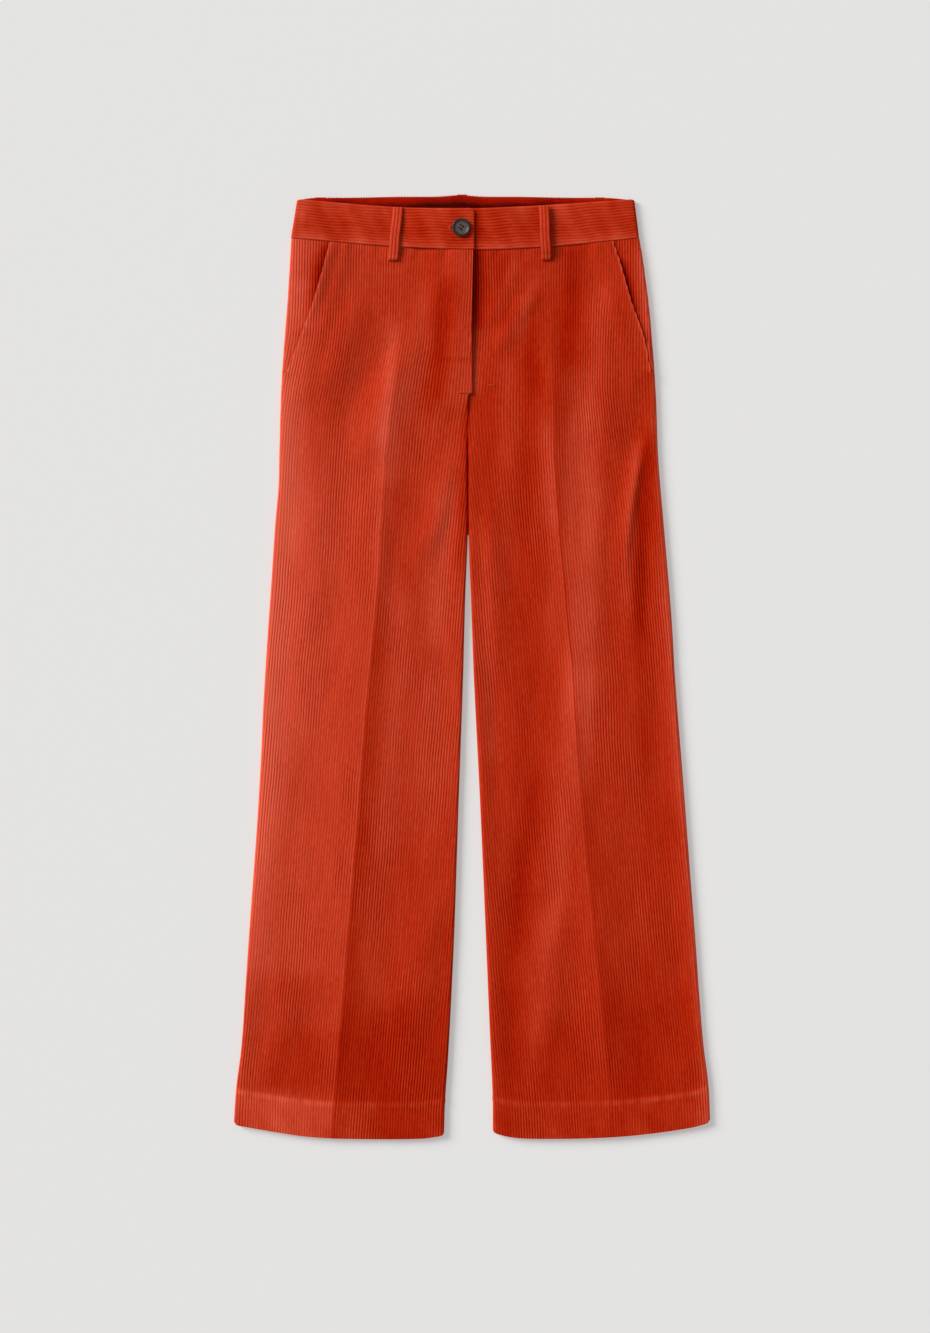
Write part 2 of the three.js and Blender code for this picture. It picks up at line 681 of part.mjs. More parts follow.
// Front half of the waistband, its wales running round the waist
function frontBand(sideName) {
  const isLeft = sideName === "left";
  const quarter = band.edgeRadius * halfTurn - cloth.seamGap / 2;
  const rowCount = band.wales * 2;
  const outerShares = Array.from({ length: rowCount + 1 }, (unused, i) => 1 - i / rowCount);
  const innerShares = [1, 0.9, 0.5, 0];
  const placesOf = (share) => {
    const ends = bandEnds(share);
    if (isLeft) {
      const corner = band.lapCorner * (1 - Math.sqrt(1 - Math.max(0, (share - 0.88) / 0.12) ** 2));
      const from = ends.left + band.edgeRadius - quarter;
      return [0, 1.5, 3, 4.6, 40, 80, 113, 135, 157, 180].map((step) => from + step).concat(band.lapEdge - corner);
    }
    const to = ends.right - band.edgeRadius + quarter;
    return [band.underEnd, 2.4, 5.5, 50, 100, 140].concat([4.6, 3, 1.5, 0].map((step) => to - step));
  };
  const height = (place, i) => {
    const onTop = i % 2 === 1;
    const showing = isLeft ? 1 : smooth((place - 3) / 2);
    return onTop ? cloth.bandWaleHeight * showing : 0;
  };
  const outer = grid(outerShares, placesOf, (place, share) => {
    const i = Math.round((1 - share) * rowCount);
    return bandPoint(place, share, height(place, i), true, isLeft);
  });
  const inner = grid(innerShares, placesOf, (place, share) => bandPoint(place, share, -cloth.bandWall, true, isLeft));
  return clothWall(`waistband_front_${sideName}`, outer, inner, true, colours.corduroy);
}

function backBand() {
  const shares = [1, 0.85, 0.5, 0];
  const turned = 5; // the width of band that belongs to the fold at either side
  const liftSteps = [-26, -15, -7.5, 7.5, 15, 26];
  const quarter = band.edgeRadius * halfTurn - cloth.seamGap / 2;
  const placesOf = (share) => {
    const ends = bandEnds(share);
    const from = ends.left + band.edgeRadius - quarter;
    const to = ends.right - band.edgeRadius + quarter;
    const around = backLoops.flatMap((loop) => liftSteps.map((step) => loop.x + step));
    const ordered = around.filter((x) => x > band.leftSide.top + turned && x < band.rightSide.top - turned);
    return [from, from + 1.6, from + 3.2, from + 4.8, ...ordered, to - 4.8, to - 3.2, to - 1.6, to];
  };
  const outer = grid(shares, placesOf, (place, share) => bandPoint(place, share, 0, false, false));
  const inner = grid(shares, placesOf, (place, share) => bandPoint(place, share, -cloth.bandWall, false, false));
  return clothWall("waistband_back", outer, inner, false, colours.inside);
}

// Section of a belt loop: three ridges with two grooves between them
const loopSection = [-1, -0.66, -0.33, 0, 0.33, 0.66, 1].map((place, k) => ({ place, ridge: k % 2 === 1 ? 1 : 0 }));

// Belt loop on the front: it starts on the band's top edge and ends just below the waist seam
function frontLoop(loop) {
  const shares = [0, 0.06, 0.3, 0.55, 0.78, 0.94, 1];
  const bandFace = 2 * band.edgeRadius + cloth.bandWaleHeight + loopSize.clearance;
  const legFace = lie.frontHeight + lie.waistRise + cloth.waleHeight + loopSize.clearance;
  const pointOf = (place, down, out) => {
    const x = THREE.MathUtils.lerp(loop.topX, loop.bottomX, down) + (place * loopSize.width) / 2;
    const y = THREE.MathUtils.lerp(loop.top, loop.bottom, down);
    const low = smooth((down - 0.78) / 0.22);
    const overLap = smooth((x - band.overStart) / (band.overFull - band.overStart)) * 3 * (1 - low);
    const arch = loopSize.arch * Math.sin(Math.PI * down) ** 2;
    const z = THREE.MathUtils.lerp(bandFace, legFace, low) + arch + overLap;
    return new THREE.Vector3(x, y, z + out);
  };
  const placesOf = () => loopSection.map((step) => step.place);
  const rows = shares.map((share) => -share);
  const outer = grid(rows, placesOf, (place, down, k) =>
    pointOf(place, -down, loopSize.wall + loopSection[k].ridge * loopSize.ridge),
  );
  const inner = grid(
    rows,
    () => [-1, 0, 1],
    (place, down) => pointOf(place, -down, 0),
  );
  return clothWall(loop.name, outer, inner, true, colours.corduroy);
}

// Belt loop on the back, pressed between the band and the table
function backLoop(loop) {
  const rows = [loop.top, 505, 480, loop.bottom];
  const half = (loopSize.width - 0.4) / 2;
  const placesOf = () => [-1, 0, 1];
  const upper = grid(rows, placesOf, (place, y) => new THREE.Vector3(loop.x + place * half, y, backLoopWall));
  const lower = grid(rows, placesOf, (place, y) => new THREE.Vector3(loop.x + place * half, y, 0));
  return clothWall(loop.name, upper, lower, true, colours.corduroy);
}

function solidOf(geometry) {
  geometry.deleteAttribute("normal");
  geometry.deleteAttribute("uv");
  const merged = mergeVertices(geometry);
  return new wasm.Manifold(
    new wasm.Mesh({
      numProp: 3,
      vertProperties: merged.attributes.position.array,
      triVerts: new Uint32Array(merged.index.array),
    }),
  );
}

// Horn button with a raised rim and four holes, its underside on the lapped end of the band
function hornButton() {
  const { radius, thickness } = button;
  const profile = [
    [0, 0],
    [radius * 0.84, 0],
    [radius, thickness * 0.34],
    [radius, thickness * 0.72],
    [radius * 0.93, thickness],
    [radius * 0.82, thickness],
    [radius * 0.68, thickness * 0.68],
    [0, thickness * 0.62],
  ].map(([r, z]) => new THREE.Vector2(r, z));
  const disc = new THREE.LatheGeometry(profile, 28).rotateX(Math.PI / 2);
  let solid = solidOf(disc);
  if (solid.volume() < 0) throw new Error("the button's profile runs the wrong way");
  for (const quarter of [0, 1, 2, 3]) {
    const angle = THREE.MathUtils.degToRad(button.turned + quarter * 90);
    const drill = new THREE.CylinderGeometry(button.holeRadius, button.holeRadius, thickness * 4, 10);
    drill.rotateX(Math.PI / 2);
    drill.translate(Math.cos(angle) * button.holeOffset, Math.sin(angle) * button.holeOffset, 0);
    solid = solid.subtract(solidOf(drill));
  }
  const made = solid.getMesh();
  const geometry = new THREE.BufferGeometry();
  geometry.setAttribute("position", new THREE.BufferAttribute(new Float32Array(made.vertProperties), 3));
  geometry.setIndex([...made.triVerts]);
  geometry.computeVertexNormals();
  const material = new THREE.MeshStandardMaterial({ color: colours.horn, roughness: 0.35, metalness: 0 });
  const mesh = new THREE.Mesh(geometry, material);
  mesh.name = "button";
  mesh.position.set(button.x, button.y, band.overHeight + cloth.bandWaleHeight + cloth.seamGap);
  return mesh;
}

const trousers = new THREE.Group();
trousers.name = "corduroy_trousers";
for (const legName of ["left", "right"]) {
  trousers.add(frontPanel(legName), backPanel(legName), pocketFacing(legName), frontBand(legName));
}
trousers.add(flyFacing(), backBand(), hornButton());
trousers.add(...frontLoops.map(frontLoop), ...backLoops.map(backLoop));

export default trousers;
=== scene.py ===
import math
import bpy
import numpy as np
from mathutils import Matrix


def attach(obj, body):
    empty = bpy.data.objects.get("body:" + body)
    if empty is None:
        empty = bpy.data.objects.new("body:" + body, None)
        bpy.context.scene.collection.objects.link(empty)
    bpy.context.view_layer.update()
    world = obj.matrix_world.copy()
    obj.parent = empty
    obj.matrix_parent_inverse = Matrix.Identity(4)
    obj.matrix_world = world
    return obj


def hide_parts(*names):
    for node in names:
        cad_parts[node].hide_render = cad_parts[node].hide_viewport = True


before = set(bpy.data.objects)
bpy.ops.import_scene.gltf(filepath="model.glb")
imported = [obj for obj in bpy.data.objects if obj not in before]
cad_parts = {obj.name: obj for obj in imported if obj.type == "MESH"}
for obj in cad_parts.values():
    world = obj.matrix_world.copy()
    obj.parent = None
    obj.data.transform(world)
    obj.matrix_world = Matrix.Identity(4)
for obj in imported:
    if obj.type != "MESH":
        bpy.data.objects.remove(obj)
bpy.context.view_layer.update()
print("frame loaded")

# Corduroy trousers laid flat on their back. Sizes in the tables are millimetres, pieces are made in metres.
mm = 0.001

cloth = {
    "wall": 1.2, "backWall": 1.6, "hemWall": 2.6, "bandWall": 2.2,
    "waleHeight": 0.6, "bandWaleHeight": 0.5, "walePitch": 3.05, "columnsPerWale": 4, "waleRoundness": 0.55,
    "waleReach": 150.0, "bandGap": 0.15, "seamGap": 0.3,
}
lie = {
    "edgeRadius": 3.0, "frontHeight": 4.8, "edgeFade": 22.0, "sideSeamTurn": 0.5,
    "waistRise": 0.4, "hemRise": 1.2, "lowest": -1.2, "calmer": 0.8, "wander": 0.35, "wanderEdge": 10.0,
    "rowStep": 4.6, "closestRows": 1.2,
}
crotch = {"forkStart": 298.0, "forkEnd": 215.0}
worn = {"usual": 0.88, "range": 0.13}
backLook = {
    "rowStep": 14.0, "standTurn": 1.2, "pressed": 0.6, "insideColumns": 14, "highestCrease": 0.65,
}
hem = {
    "edge": -528.0, "turn": -491.0, "above": -478.0, "riseFrom": -395.0,
    "cornerRise": 2.8, "cornerBelow": -512.0, "cornerHeight": 17.0, "cornerInside": 3.0, "cornerWidth": 6.0,
    "ridge": 0.55, "ridgeUp": 1.5, "ridgeWidth": 2.2, "dip": -0.35, "dipDown": 4.5, "dipWidth": 3.0,
}
waist = {
    "seam": 468.0, "riseFrom": 405.0, "riseTo": 448.0, "sideSeamY": 479.7,
    "dip": 0.4, "dipFrom": 464.5, "dipOver": 3.5,
    "pucker": 0.55, "puckerFrom": 452.0, "puckerFull": 10.0, "puckerEnd": 464.0, "puckerFade": 4.0,
}

# Outline and crease of each leg by height, from the middle line
legs = {
    "left": {
        "side": -1,
        "outline": {
            "y": [480, 468, 411, 371, 326, 281, 245, 204, 157, 83, -15, -150, -306, -441, -490, -529],
            "side": [-201.2, -202.0, -206, -209.3, -212.6, -214.4, -215.3, -216.2, -220.2, -225.1, -231.8,
                     -238.6, -249.8, -258.7, -264, -266.4],
            "crease": [-73, -73.3, -75, -77.6, -85.4, -92.6, -95.8, -98.5, -101.3, -106.1, -115.1, -126.3,
                       -139.0, -150.6, -154.7, -156.6],
            "inner": [-4.8, -4.8, -4.8, -4.8, -4.8, -4.8, -4.7, -4.5, -4.4, -7.4, -10.1, -14.9, -20.2, -26.9,
                      -30.2, -31.4],
        },
        "hemCurve": {
            "x": [-267, -220, -186, -142, -58, -31],
            "y": [-513.5, -521.5, -526.5, -529, -529, -525.5],
        },
        "pocketMouth": {"y": [468, 448, 405, 368, 330], "x": [-159, -164.8, -179, -193, -207.5]},
        "mouthGape": 2.4,
    },
    "right": {
        "side": 1,
        "outline": {
            "y": [480, 468, 444, 411, 371, 306, 231, 157, 64, -15, -150, -306, -441, -490, -529],
            "side": [185.4, 187.2, 191.8, 197.1, 201, 205.6, 208.3, 214.6, 222.5, 227.4, 237.8, 249.8, 259.8,
                     264.9, 266.4],
            "crease": [89.4, 89.4, 89.5, 89.8, 90.3, 91.3, 93.0, 98.2, 105.8, 113.5, 122.4, 137.5, 150.8,
                       154.6, 156.8],
            "inner": [-4.5, -4.5, -4.5, -4.5, -4.5, -4.5, -4.3, -4, -0.7, 2.2, 9, 15.7, 21.3, 23.2, 23.4],
        },
        "hemCurve": {
            "x": [22, 42, 66, 132, 188, 244, 267],
            "y": [-522, -527, -529, -528.4, -524.7, -516.9, -511],
        },
        "pocketMouth": {"y": [468, 448, 405, 368, 330], "x": [157.5, 165, 179.6, 192.4, 200]},
        "mouthGape": 0.8,
    },
}
waistSeam = {"x": [-203, -86, 2, 87, 188], "y": [479.7, 470, 466.5, 470, 479.7]}

# Folds of the fronts. Each row: x and y of the line's top, middle and bottom, widths left and right, height.
creaseFold = {
    "height": 3.0, "reach": 50.0, "startsAt": 420.0, "fullAt": 320.0, "softness": 1.2, "steepness": 1.5,
}
folds = {
    "left": [
        (-120, 430, -140, 365, -172, 292, 24, 20, 2.6),
        (-74, 398, -112, 330, -165, 250, 15, 12, -1.0),
        (-80, 356, -100, 290, -128, 212, 16, 24, 2.2),
        (-40, 418, -42, 340, -50, 258, 14, 12, -1.0),
        (-64, 430, -62, 370, -66, 320, 10, 10, 1.0),
        (-18, 252, -32, 190, -60, 104, 16, 12, 2.8),
        (-84, 176, -88, 100, -95, 16, 9, 18, -0.9),
        (-60, 40, -52, -60, -50, -170, 22, 18, 1.0),
        (-46, -240, -52, -340, -62, -440, 26, 20, 1.4),
        (-196, -330, -214, -400, -236, -476, 22, 18, 1.2),
        (-180, 200, -176, 60, -184, -90, 30, 26, 0.9),
    ],
    "right": [
        (94, 458, 98, 400, 108, 326, 14, 11, -1.0),
        (140, 452, 146, 350, 164, 236, 26, 26, 2.4),
        (70, 428, 50, 392, 28, 346, 10, 12, 2.0),
        (48, 446, 34, 420, 18, 376, 8, 9, 1.3),
        (198, 274, 180, 190, 170, 84, 12, 6, 3.0),
        (203, 240, 196, 120, 192, -10, 10, 12, -1.2),
        (20, 220, 24, 90, 34, -44, 10, 16, 1.8),
        (58, -140, 54, -230, 48, -330, 16, 20, -1.0),
        (100, -250, 92, -350, 82, -466, 24, 18, 1.8),
        (52, 300, 46, 230, 48, 140, 12, 12, 0.9),
        (150, 60, 158, -60, 170, -200, 26, 20, 0.9),
    ],
}

# Bands of painted light and shade, where the cloth is painted lighter or darker: rows as for folds, with the
# change of tone last
napBands = {
    "left": [
        (-206, 430, -226, 30, -264, -560, 30, 34, 0.22),
        (-182, 260, -190, 80, -196, -140, 24, 18, 0.16),
        (-188, 440, -184, 405, -182, 372, 14, 14, 0.22),
        (-140, 330, -160, 0, -200, -540, 50, 36, 0.14),
        (-84, 405, -92, 330, -99, 230, 10, 7, 0.26),
        (-150, 430, -150, 340, -160, 255, 20, 14, -0.08),
        (-78, 335, -86, 265, -92, 190, 15, 14, 0.22),
        (-28, 400, -32, 340, -36, 290, 9, 9, -0.16),
        (-104, 440, -112, 385, -135, 340, 18, 14, -0.06),
        (-24, 450, -38, 350, -52, 268, 12, 13, -0.34),
        (-50, 445, -58, 380, -75, 300, 11, 12, 0.08),
        (-70, 290, -72, 190, -70, 60, 22, 20, -0.1),
        (-24, 225, -33, 140, -44, 0, 13, 11, 0.26),
        (-5, 312, -8, 220, -13, 90, 9, 7, -0.28),
        (-45, 480, -42, 420, -34, 370, 30, 24, -0.14),
        (-104, 300, -101, 200, -96, 30, 12, 14, 0.14),
        (-55, -110, -58, -300, -58, -620, 56, 60, -0.14),
        (-165, -400, -160, -450, -155, -500, 50, 50, -0.14),
        (-42, 20, -44, -100, -48, -240, 18, 15, 0.1),
        (-60, -340, -62, -450, -60, -640, 50, 40, -0.22),
        (-120, -360, -115, -460, -112, -640, 24, 44, -0.22),
        (-205, -330, -205, -420, -205, -492, 60, 46, -0.26),
        (-212, -470, -205, -496, -200, -560, 40, 36, 0.14),
        (-20, -240, -26, -380, -31, -560, 10, 10, -0.12),
        (-22, 292, -24, 281, -26, 268, 6, 6, -0.14),
        (-72, 190, -86, 0, -104, -260, 12, 15, 0.11),
    ],
    "right": [
        (8, 500, 8, 440, 6, 365, 9, 9, -0.34),
        (30, 490, 32, 440, 32, 370, 11, 11, -0.18),
        (62, 300, 62, 100, 58, -160, 14, 14, -0.1),
        (137, 250, 134, 60, 130, -130, 10, 9, 0.16),
        (132, 10, 130, -70, 128, -150, 10, 9, 0.2),
        (110, 300, 110, 190, 108, 90, 8, 7, 0.2),
        (190, 475, 193, 425, 199, 360, 9, 7, 0.28),
        (112, 440, 111, 405, 109, 370, 9, 9, -0.14),
        (72, 390, 70, 345, 68, 300, 9, 9, -0.12),
        (240, -340, 248, -440, 256, -520, 18, 12, -0.12),
        (50, -340, 60, -420, 66, -480, 26, 26, -0.08),
        (96, 290, 92, 150, 88, 0, 8, 10, 0.14),
        (70, -150, 64, -240, 60, -330, 16, 14, -0.1),
        (55, -410, 58, -460, 62, -540, 30, 30, -0.14),
        (185, -340, 190, -450, 195, -620, 70, 60, -0.12),
        (206, -130, 214, -240, 220, -350, 24, 24, -0.09),
        (50, 466, 38, 425, 22, 380, 5, 7, 0.18),
        (78, 446, 62, 410, 46, 360, 6, 8, 0.2),
        (76, 430, 69, 390, 62, 330, 6, 6, -0.12),
        (110, 490, 110, 400, 104, 318, 11, 13, -0.28),
        (152, 450, 143, 370, 128, 250, 14, 13, 0.18),
        (128, 320, 124, 120, 112, -70, 16, 20, 0.32),
        (112, 20, 106, -130, 86, -340, 12, 14, 0.24),
        (84, -250, 74, -370, 64, -490, 13, 13, 0.16),
        (172, 340, 172, 270, 160, 190, 16, 18, -0.04),
        (188, 270, 178, 170, 170, 40, 7, 7, 0.2),
        (199, 280, 190, 150, 187, 10, 8, 11, -0.42),
        (188, 70, 192, -40, 196, -160, 10, 12, -0.14),
        (212, 160, 222, 0, 238, -200, 7, 10, 0.26),
        (236, -140, 250, -310, 262, -560, 9, 9, 0.2),
        (22, 340, 20, 250, 24, 140, 12, 10, -0.08),
        (40, 360, 38, 280, 38, 205, 8, 8, 0.12),
        (63, 390, 62, 210, 60, 130, 9, 9, -0.1),
        (82, 290, 86, 220, 91, 140, 10, 6, 0.22),
        (12, 180, 16, 30, 24, -140, 8, 9, 0.2),
        (74, -90, 56, -230, 37, -360, 13, 11, -0.26),
        (40, -310, 40, -400, 40, -600, 14, 12, -0.16),
        (170, -300, 176, -420, 180, -560, 30, 62, -0.1),
        (100, -370, 104, -440, 108, -600, 25, 30, -0.14),
        (198, 276, 185, 222, 170, 140, 7, 2.5, 0.13),
        (118, 340, 118, 300, 120, 250, 12, 14, 0.1),
        (72, 350, 72, 300, 73, 250, 12, 10, -0.08),
    ],
}
# Painted light and shade at the crease: lighter on its left, darker on its right, a painted glint, and a thin
# groove painted dark along it, by height
creasePaintedLight = {
    "left": {"y": [420, 330, 230, 60, -150, -300, -529], "lighter": [0, 0.05, 0.05, 0.04, 0.04, 0.04, 0.05],
             "darker": [0, 0, 0.06, 0.17, 0.23, 0.25, 0.28], "glint": [0, 0, 0.04, 0.12, 0.09, 0, 0],
             "groove": [0, 0, 0.04, 0.10, 0.08, 0, 0]},
    "right": {"y": [420, 270, 210, 60, -60, -150, -529], "lighter": [0, 0.04, 0.06, 0, 0.08, 0.08, 0],
              "darker": [0, 0.08, 0.08, -0.07, 0.02, 0.06, 0.08], "glint": [0, 0.02, 0.06, 0.14, 0.10, 0, 0],
              "groove": [0, 0.12, 0.24, 0.36, 0.28, 0.04, 0]},
}
# Tone of each leg and of the inside, with the widths and strengths of the painted light and shade; the left
# leg is lighter than the right partly as painted light
nap = {
    "left": 0.59, "right": 0.43, "inside": 0.3, "fade": 0.2,
    "lighterWidth": 12.0, "darkerWidth": 17.0, "glintWidth": 5.0, "grooveWidth": 1.2,
    "rim": {"left": 0.06, "right": 0.26}, "rimWidth": 6.0, "innerRimShare": 0.25,
    "outermost": 0.7, "outermostFrom": 0.5, "outermostOver": 0.7,
    "sideLight": 0.52, "sideLightWidth": 19.0, "sideLightFrom": -420.0, "sideLightOver": 300.0,
    "mouthEdgeHighlight": 0.42, "mouthEdgeHighlightWidth": 1.8, "mouthGapShade": 0.85, "mouthGapShadeWidth": {"left": 9.5, "right": 6.5},
}
# How deep the shade of the pocket's mouth is: its share by height
mouthShade = {
    "lowest": {"left": 0.2, "right": -0.3}, "low": 0.2, "lowFrom": 354.0, "lowOver": 18.0, "lowTo": 372.0,
    "deepFrom": 385.0, "deepOver": 45.0, "deep": 0.8, "closed": 0.75, "closedOver": 16.0,
}
seamShade = {
    "x": -4.6, "tone": 0.40, "width": 2.8, "top": 302.0, "topFade": 12.0, "bottom": 120.0, "bottomFade": 40.0,
}
# Painted shade and highlight at the tack across the lap of the fly: a dark line with a light one above it
lapTackPaintedLight = {
    "from": -37.0, "to": 1.0, "fade": 4.0, "tone": 0.22, "lightShare": 0.7,
    "dark": 343.0, "darkWidth": 1.5, "light": 346.5, "lightWidth": 1.8,
}
# Shade beside the lap of the fly: light at its low end, dark further up
lapShade = {
    "tone": 0.42, "width": 7.5, "from": 1.0, "below": 6.0, "belowFade": 10.0,
    "low": -0.8, "rise": 1.8, "riseFrom": 330.0, "riseOver": 90.0,
}
# Painted highlight along the hem's stitches, and painted light on the cloth below it
hemPaintedLight = {
    "line": 0.46, "lineInner": 0.26, "lineUp": 1.0, "lineWidth": 3.2,
    "below": 0.26, "blotches": 0.26, "belowFade": 4.0, "outsideOver": 6.0,
}

fly = {
    "lapEdge": {"y": [468, 368, 306], "x": [1.1, -0.6, 0]},
    "bottom": 306.0, "underEdge": -12.0, "coveredTo": -1.5, "coveredOver": 3.0,
    "lift": 4.8, "endLift": 3.0, "facingLift": 2.4, "endOver": 60.0, "layerGap": 0.4,
    "liftFull": 14.0, "liftFacing": 37.0, "liftEnd": 62.0, "liftGone": 272.0,
    "facingWidth": {"y": [468, 368, 330, 307.5], "width": [36, 36, 33, 15]},
    "facingUp": 1.5, "facingStep": 6.0, "facingColumns": [37, 30, 24, 19, 14, 10, 6, 4, 1.6],
}
pocket = {
    "lift": 1.7, "under": 15.0, "liftFull": 17.0, "liftEnd": 36.0, "liftGone": 280.0, "cornerGone": 318.0,
    "gapeReach": 14.0, "gapeFrom": 350.0, "gapeOver": 80.0, "closes": {"left": 455.0, "right": 439.0},
    "closesOver": 24.0, "bottom": 330.0, "facingEnd": 330.3, "facingStep": 4.0, "scallop": 1.5,
    "flush": {"left": 0.0, "right": 1.5}, "flushFrom": 366.0, "flushOver": 12.0, "flushWidth": 1.4,
}
band = {
    "edgeRadius": 3.2,
    "frontTop": {"x": [-197, -81, -2, 82, 182], "y": [523.6, 514.6, 513.4, 517, 523.6]},
    "backTop": {"x": [-197, -176, -15.7, 150, 182], "y": [523.6, 526, 526.6, 526, 523.6]},
    "leftBottom": -202.7, "leftTop": -195.6, "rightBottom": 187.0, "rightTop": 181.6,
    "topCorner": 1.8, "cornerFrom": 0.92, "cornerOver": 0.08, "wales": 14, "height": 46.0, "underEnd": -36.0,
    "lapEdge": 2.8, "lapCorner": 6.0, "lapCornerFrom": 0.88, "lapCornerOver": 0.12,
    "lapFoot": 1.2, "lapFootFrom": 0.06, "overHeight": 9.4, "overFull": -40.0, "overStart": -84.0,
    "softEnds": 0.12, "rim": 1.6, "frontColumns": 150, "backColumns": 690, "insideColumns": 40,
    "hump": 1.5, "humpX": -14.0, "humpWidth": 17.0, "low": 0.9, "lowFrom": 60.0, "scallop": 0.30,
    "nearEnd": [0, 0.6, 1.2, 1.8, 2.4, 3.0, 3.6, 4.2, 4.8],
    "insideRows": [1, 0.95, 0.9, 0.7, 0.5, 0.3, 0.1, 0.0],
    "weaveStart": 900.0, "rowOrder": 1000.0,
}
# Tones of the front band, with painted light and shade: a painted highlight at its left corner, painted shade
# behind the button and beside the lap. Rows: change of tone, where it is and its width, by share of the
# height and by x.
bandToneAndPaintedLight = {
    "left": {"tone": 0.53, "byX": [(0.14, -185, 18)]},
    "right": {"tone": 0.52, "byX": [(-0.40, 6, 8)]},
    "byShare": [(0.28, 0, 0.13), (0.10, 1, 0.08), (-0.14, 0.45, 0.25)],
    "shadeUnderButton": (-0.10, -12, 30), "corner": (0.45, -191, 5), "cornerShare": (0.62, 0.2),
    "inside": 0.2, "back": 0.45,
}
button = {
    "x": -12.0, "y": 491.2, "bottom": 10.2, "radius": 10.2, "thickness": 3.2, "sides": 72, "rounding": 0.75,
    "rings": [(1.9, 0), (1.5, -1.05), (2.0, -0.15)], "smoothAngle": 40,
    "holeRadius": 0.95, "holeOffset": 2.6, "holeTurn": 10.0, "holeSides": 24,
    "threadDown": 1.15, "threadSink": 1.6, "threadArch": 0.3, "threadRadius": 0.30,
    "strands": (-0.5, 0.0, 0.5),
}
buttonhole = {
    "x": -24.2, "y": 491.4, "stitches": 26, "inner": 0.7, "outer": 2.0, "radius": 0.22, "slitRadius": 0.45,
}
tackLook = {"stitches": 26, "slant": 0.35, "radius": 0.32, "out": 0.9, "sink": [-0.6, 0.25, 0.4, 0.25, -0.6]}
stitchLook = {
    "spacing": 3.4, "length": 2.5, "radius": 0.24, "out": 0.8, "sink": [-0.5, 0.05, 0.18, 0.05, -0.5],
    "path": {"y": [466, 400, 343, 330, 318, 308], "x": [-33, -31.5, -29, -27, -22, -15.5]}, "points": 60,
}
seamThreadLook = {
    "path": {"y": [305.8, 301, 200, 170, 146], "x": [-4.6, -4.6, -4.6, -4.3, -4.05]},
    "from": 305.8, "to": 147, "points": 70, "radius": 0.5,
    "height": 3.0, "lower": 0.8, "lowerFrom": 286.0, "lowerOver": 10.0,
}


# A soft step from 0 to 1, as t runs from 0 to 1
def smooth(t):
    c = np.clip(t, 0.0, 1.0)
    return c * c * (3.0 - 2.0 * c)


# A soft bump, 1 in its middle
def bell(away, width):
    return np.exp(-(away / width) ** 2)


# How far a rounded corner has fallen away, as share runs from 0 to 1
def roundOff(share):
    return 1 - np.sqrt(1 - share ** 2)


# The value of a column on a smooth curve through the rows of a table
def readCurve(table, along, key, at):
    xs = np.array(table[along], float)
    ys = np.array(table[key], float)
    order = np.argsort(xs)
    xs, ys = xs[order], ys[order]
    slopes = np.empty_like(ys)
    slopes[1:-1] = (ys[2:] - ys[:-2]) / (xs[2:] - xs[:-2])
    slopes[0] = (ys[1] - ys[0]) / (xs[1] - xs[0])
    slopes[-1] = (ys[-1] - ys[-2]) / (xs[-1] - xs[-2])
    at = np.clip(np.asarray(at, float), xs[0], xs[-1])
    i = np.clip(np.searchsorted(xs, at, side="right") - 1, 0, len(xs) - 2)
    span = xs[i + 1] - xs[i]
    t = (at - xs[i]) / span
    t2, t3 = t * t, t * t * t
    return ((2 * t3 - 3 * t2 + 1) * ys[i] + (t3 - 2 * t2 + t) * span * slopes[i]
            + (3 * t2 - 2 * t3) * ys[i + 1] + (t3 - t2) * span * slopes[i + 1])


# Edges and crease of a leg along its levels: where the flat part ends and how far round the fold goes
def legEnds(leg, level):
    crease = readCurve(leg["outline"], "y", "crease", level)
    fork = smooth((crotch["forkStart"] - level) / (crotch["forkStart"] - crotch["forkEnd"]))
    ends = {"crease": crease}
    for key in ("side", "inner"):
        edge = readCurve(leg["outline"], "y", key, level)
        roll = np.ones_like(level) if key == "side" else fork
        turn = roll * (lie["sideSeamTurn"] if key == "side" else math.pi / 2)
        flat = np.abs(edge - crease) - lie["edgeRadius"] * np.sin(roll * math.pi / 2)
        ends[key] = {"edge": edge, "roll": roll, "turn": turn, "flat": flat}
    return ends


# The end that each place lies towards, as arrays
def pickEnd(leg, ends, across, what):
    towardsSide = across * leg["side"] > 0
    return np.where(towardsSide, ends["side"][what], ends["inner"][what])


def bentY(leg, level, x, seam):
    atWaist = smooth((level - waist["riseFrom"]) / (waist["seam"] - waist["riseFrom"]))
    atHem = smooth((hem["riseFrom"] - level) / (hem["riseFrom"] - hem["above"]))
    seamY = readCurve(seam, "x", "y", x) if seam else waist["sideSeamY"]
    hemY = readCurve(leg["hemCurve"], "x", "y", x)
    return level + (seamY - waist["seam"]) * atWaist + (hemY - hem["edge"]) * atHem


# A soft ridge or hollow down a line, wider or steeper on one side, fading out at its ends
def foldHeight(fold, x, y, fade=0.33):
    topX, topY, middleX, middleY, bottomX, bottomY, leftWidth, rightWidth, height = fold
    down = (topY - y) / (topY - bottomY)
    t = np.clip(down, 0, 1)
    atMiddle = (topY - middleY) / (topY - bottomY)
    straight = topX + (bottomX - topX) * t
    bow = middleX - (topX + (bottomX - topX) * atMiddle)
    centre = straight + bow * t * (1 - t) / (atMiddle * (1 - atMiddle))
    slant = math.hypot(1.0, (bottomX - topX) / (topY - bottomY))
    away = (x - centre) / slant
    width = np.where(away < 0, leftWidth, rightWidth)
    taper = smooth(down / fade) * smooth((1 - down) / fade)
    return height * taper * bell(away, width)


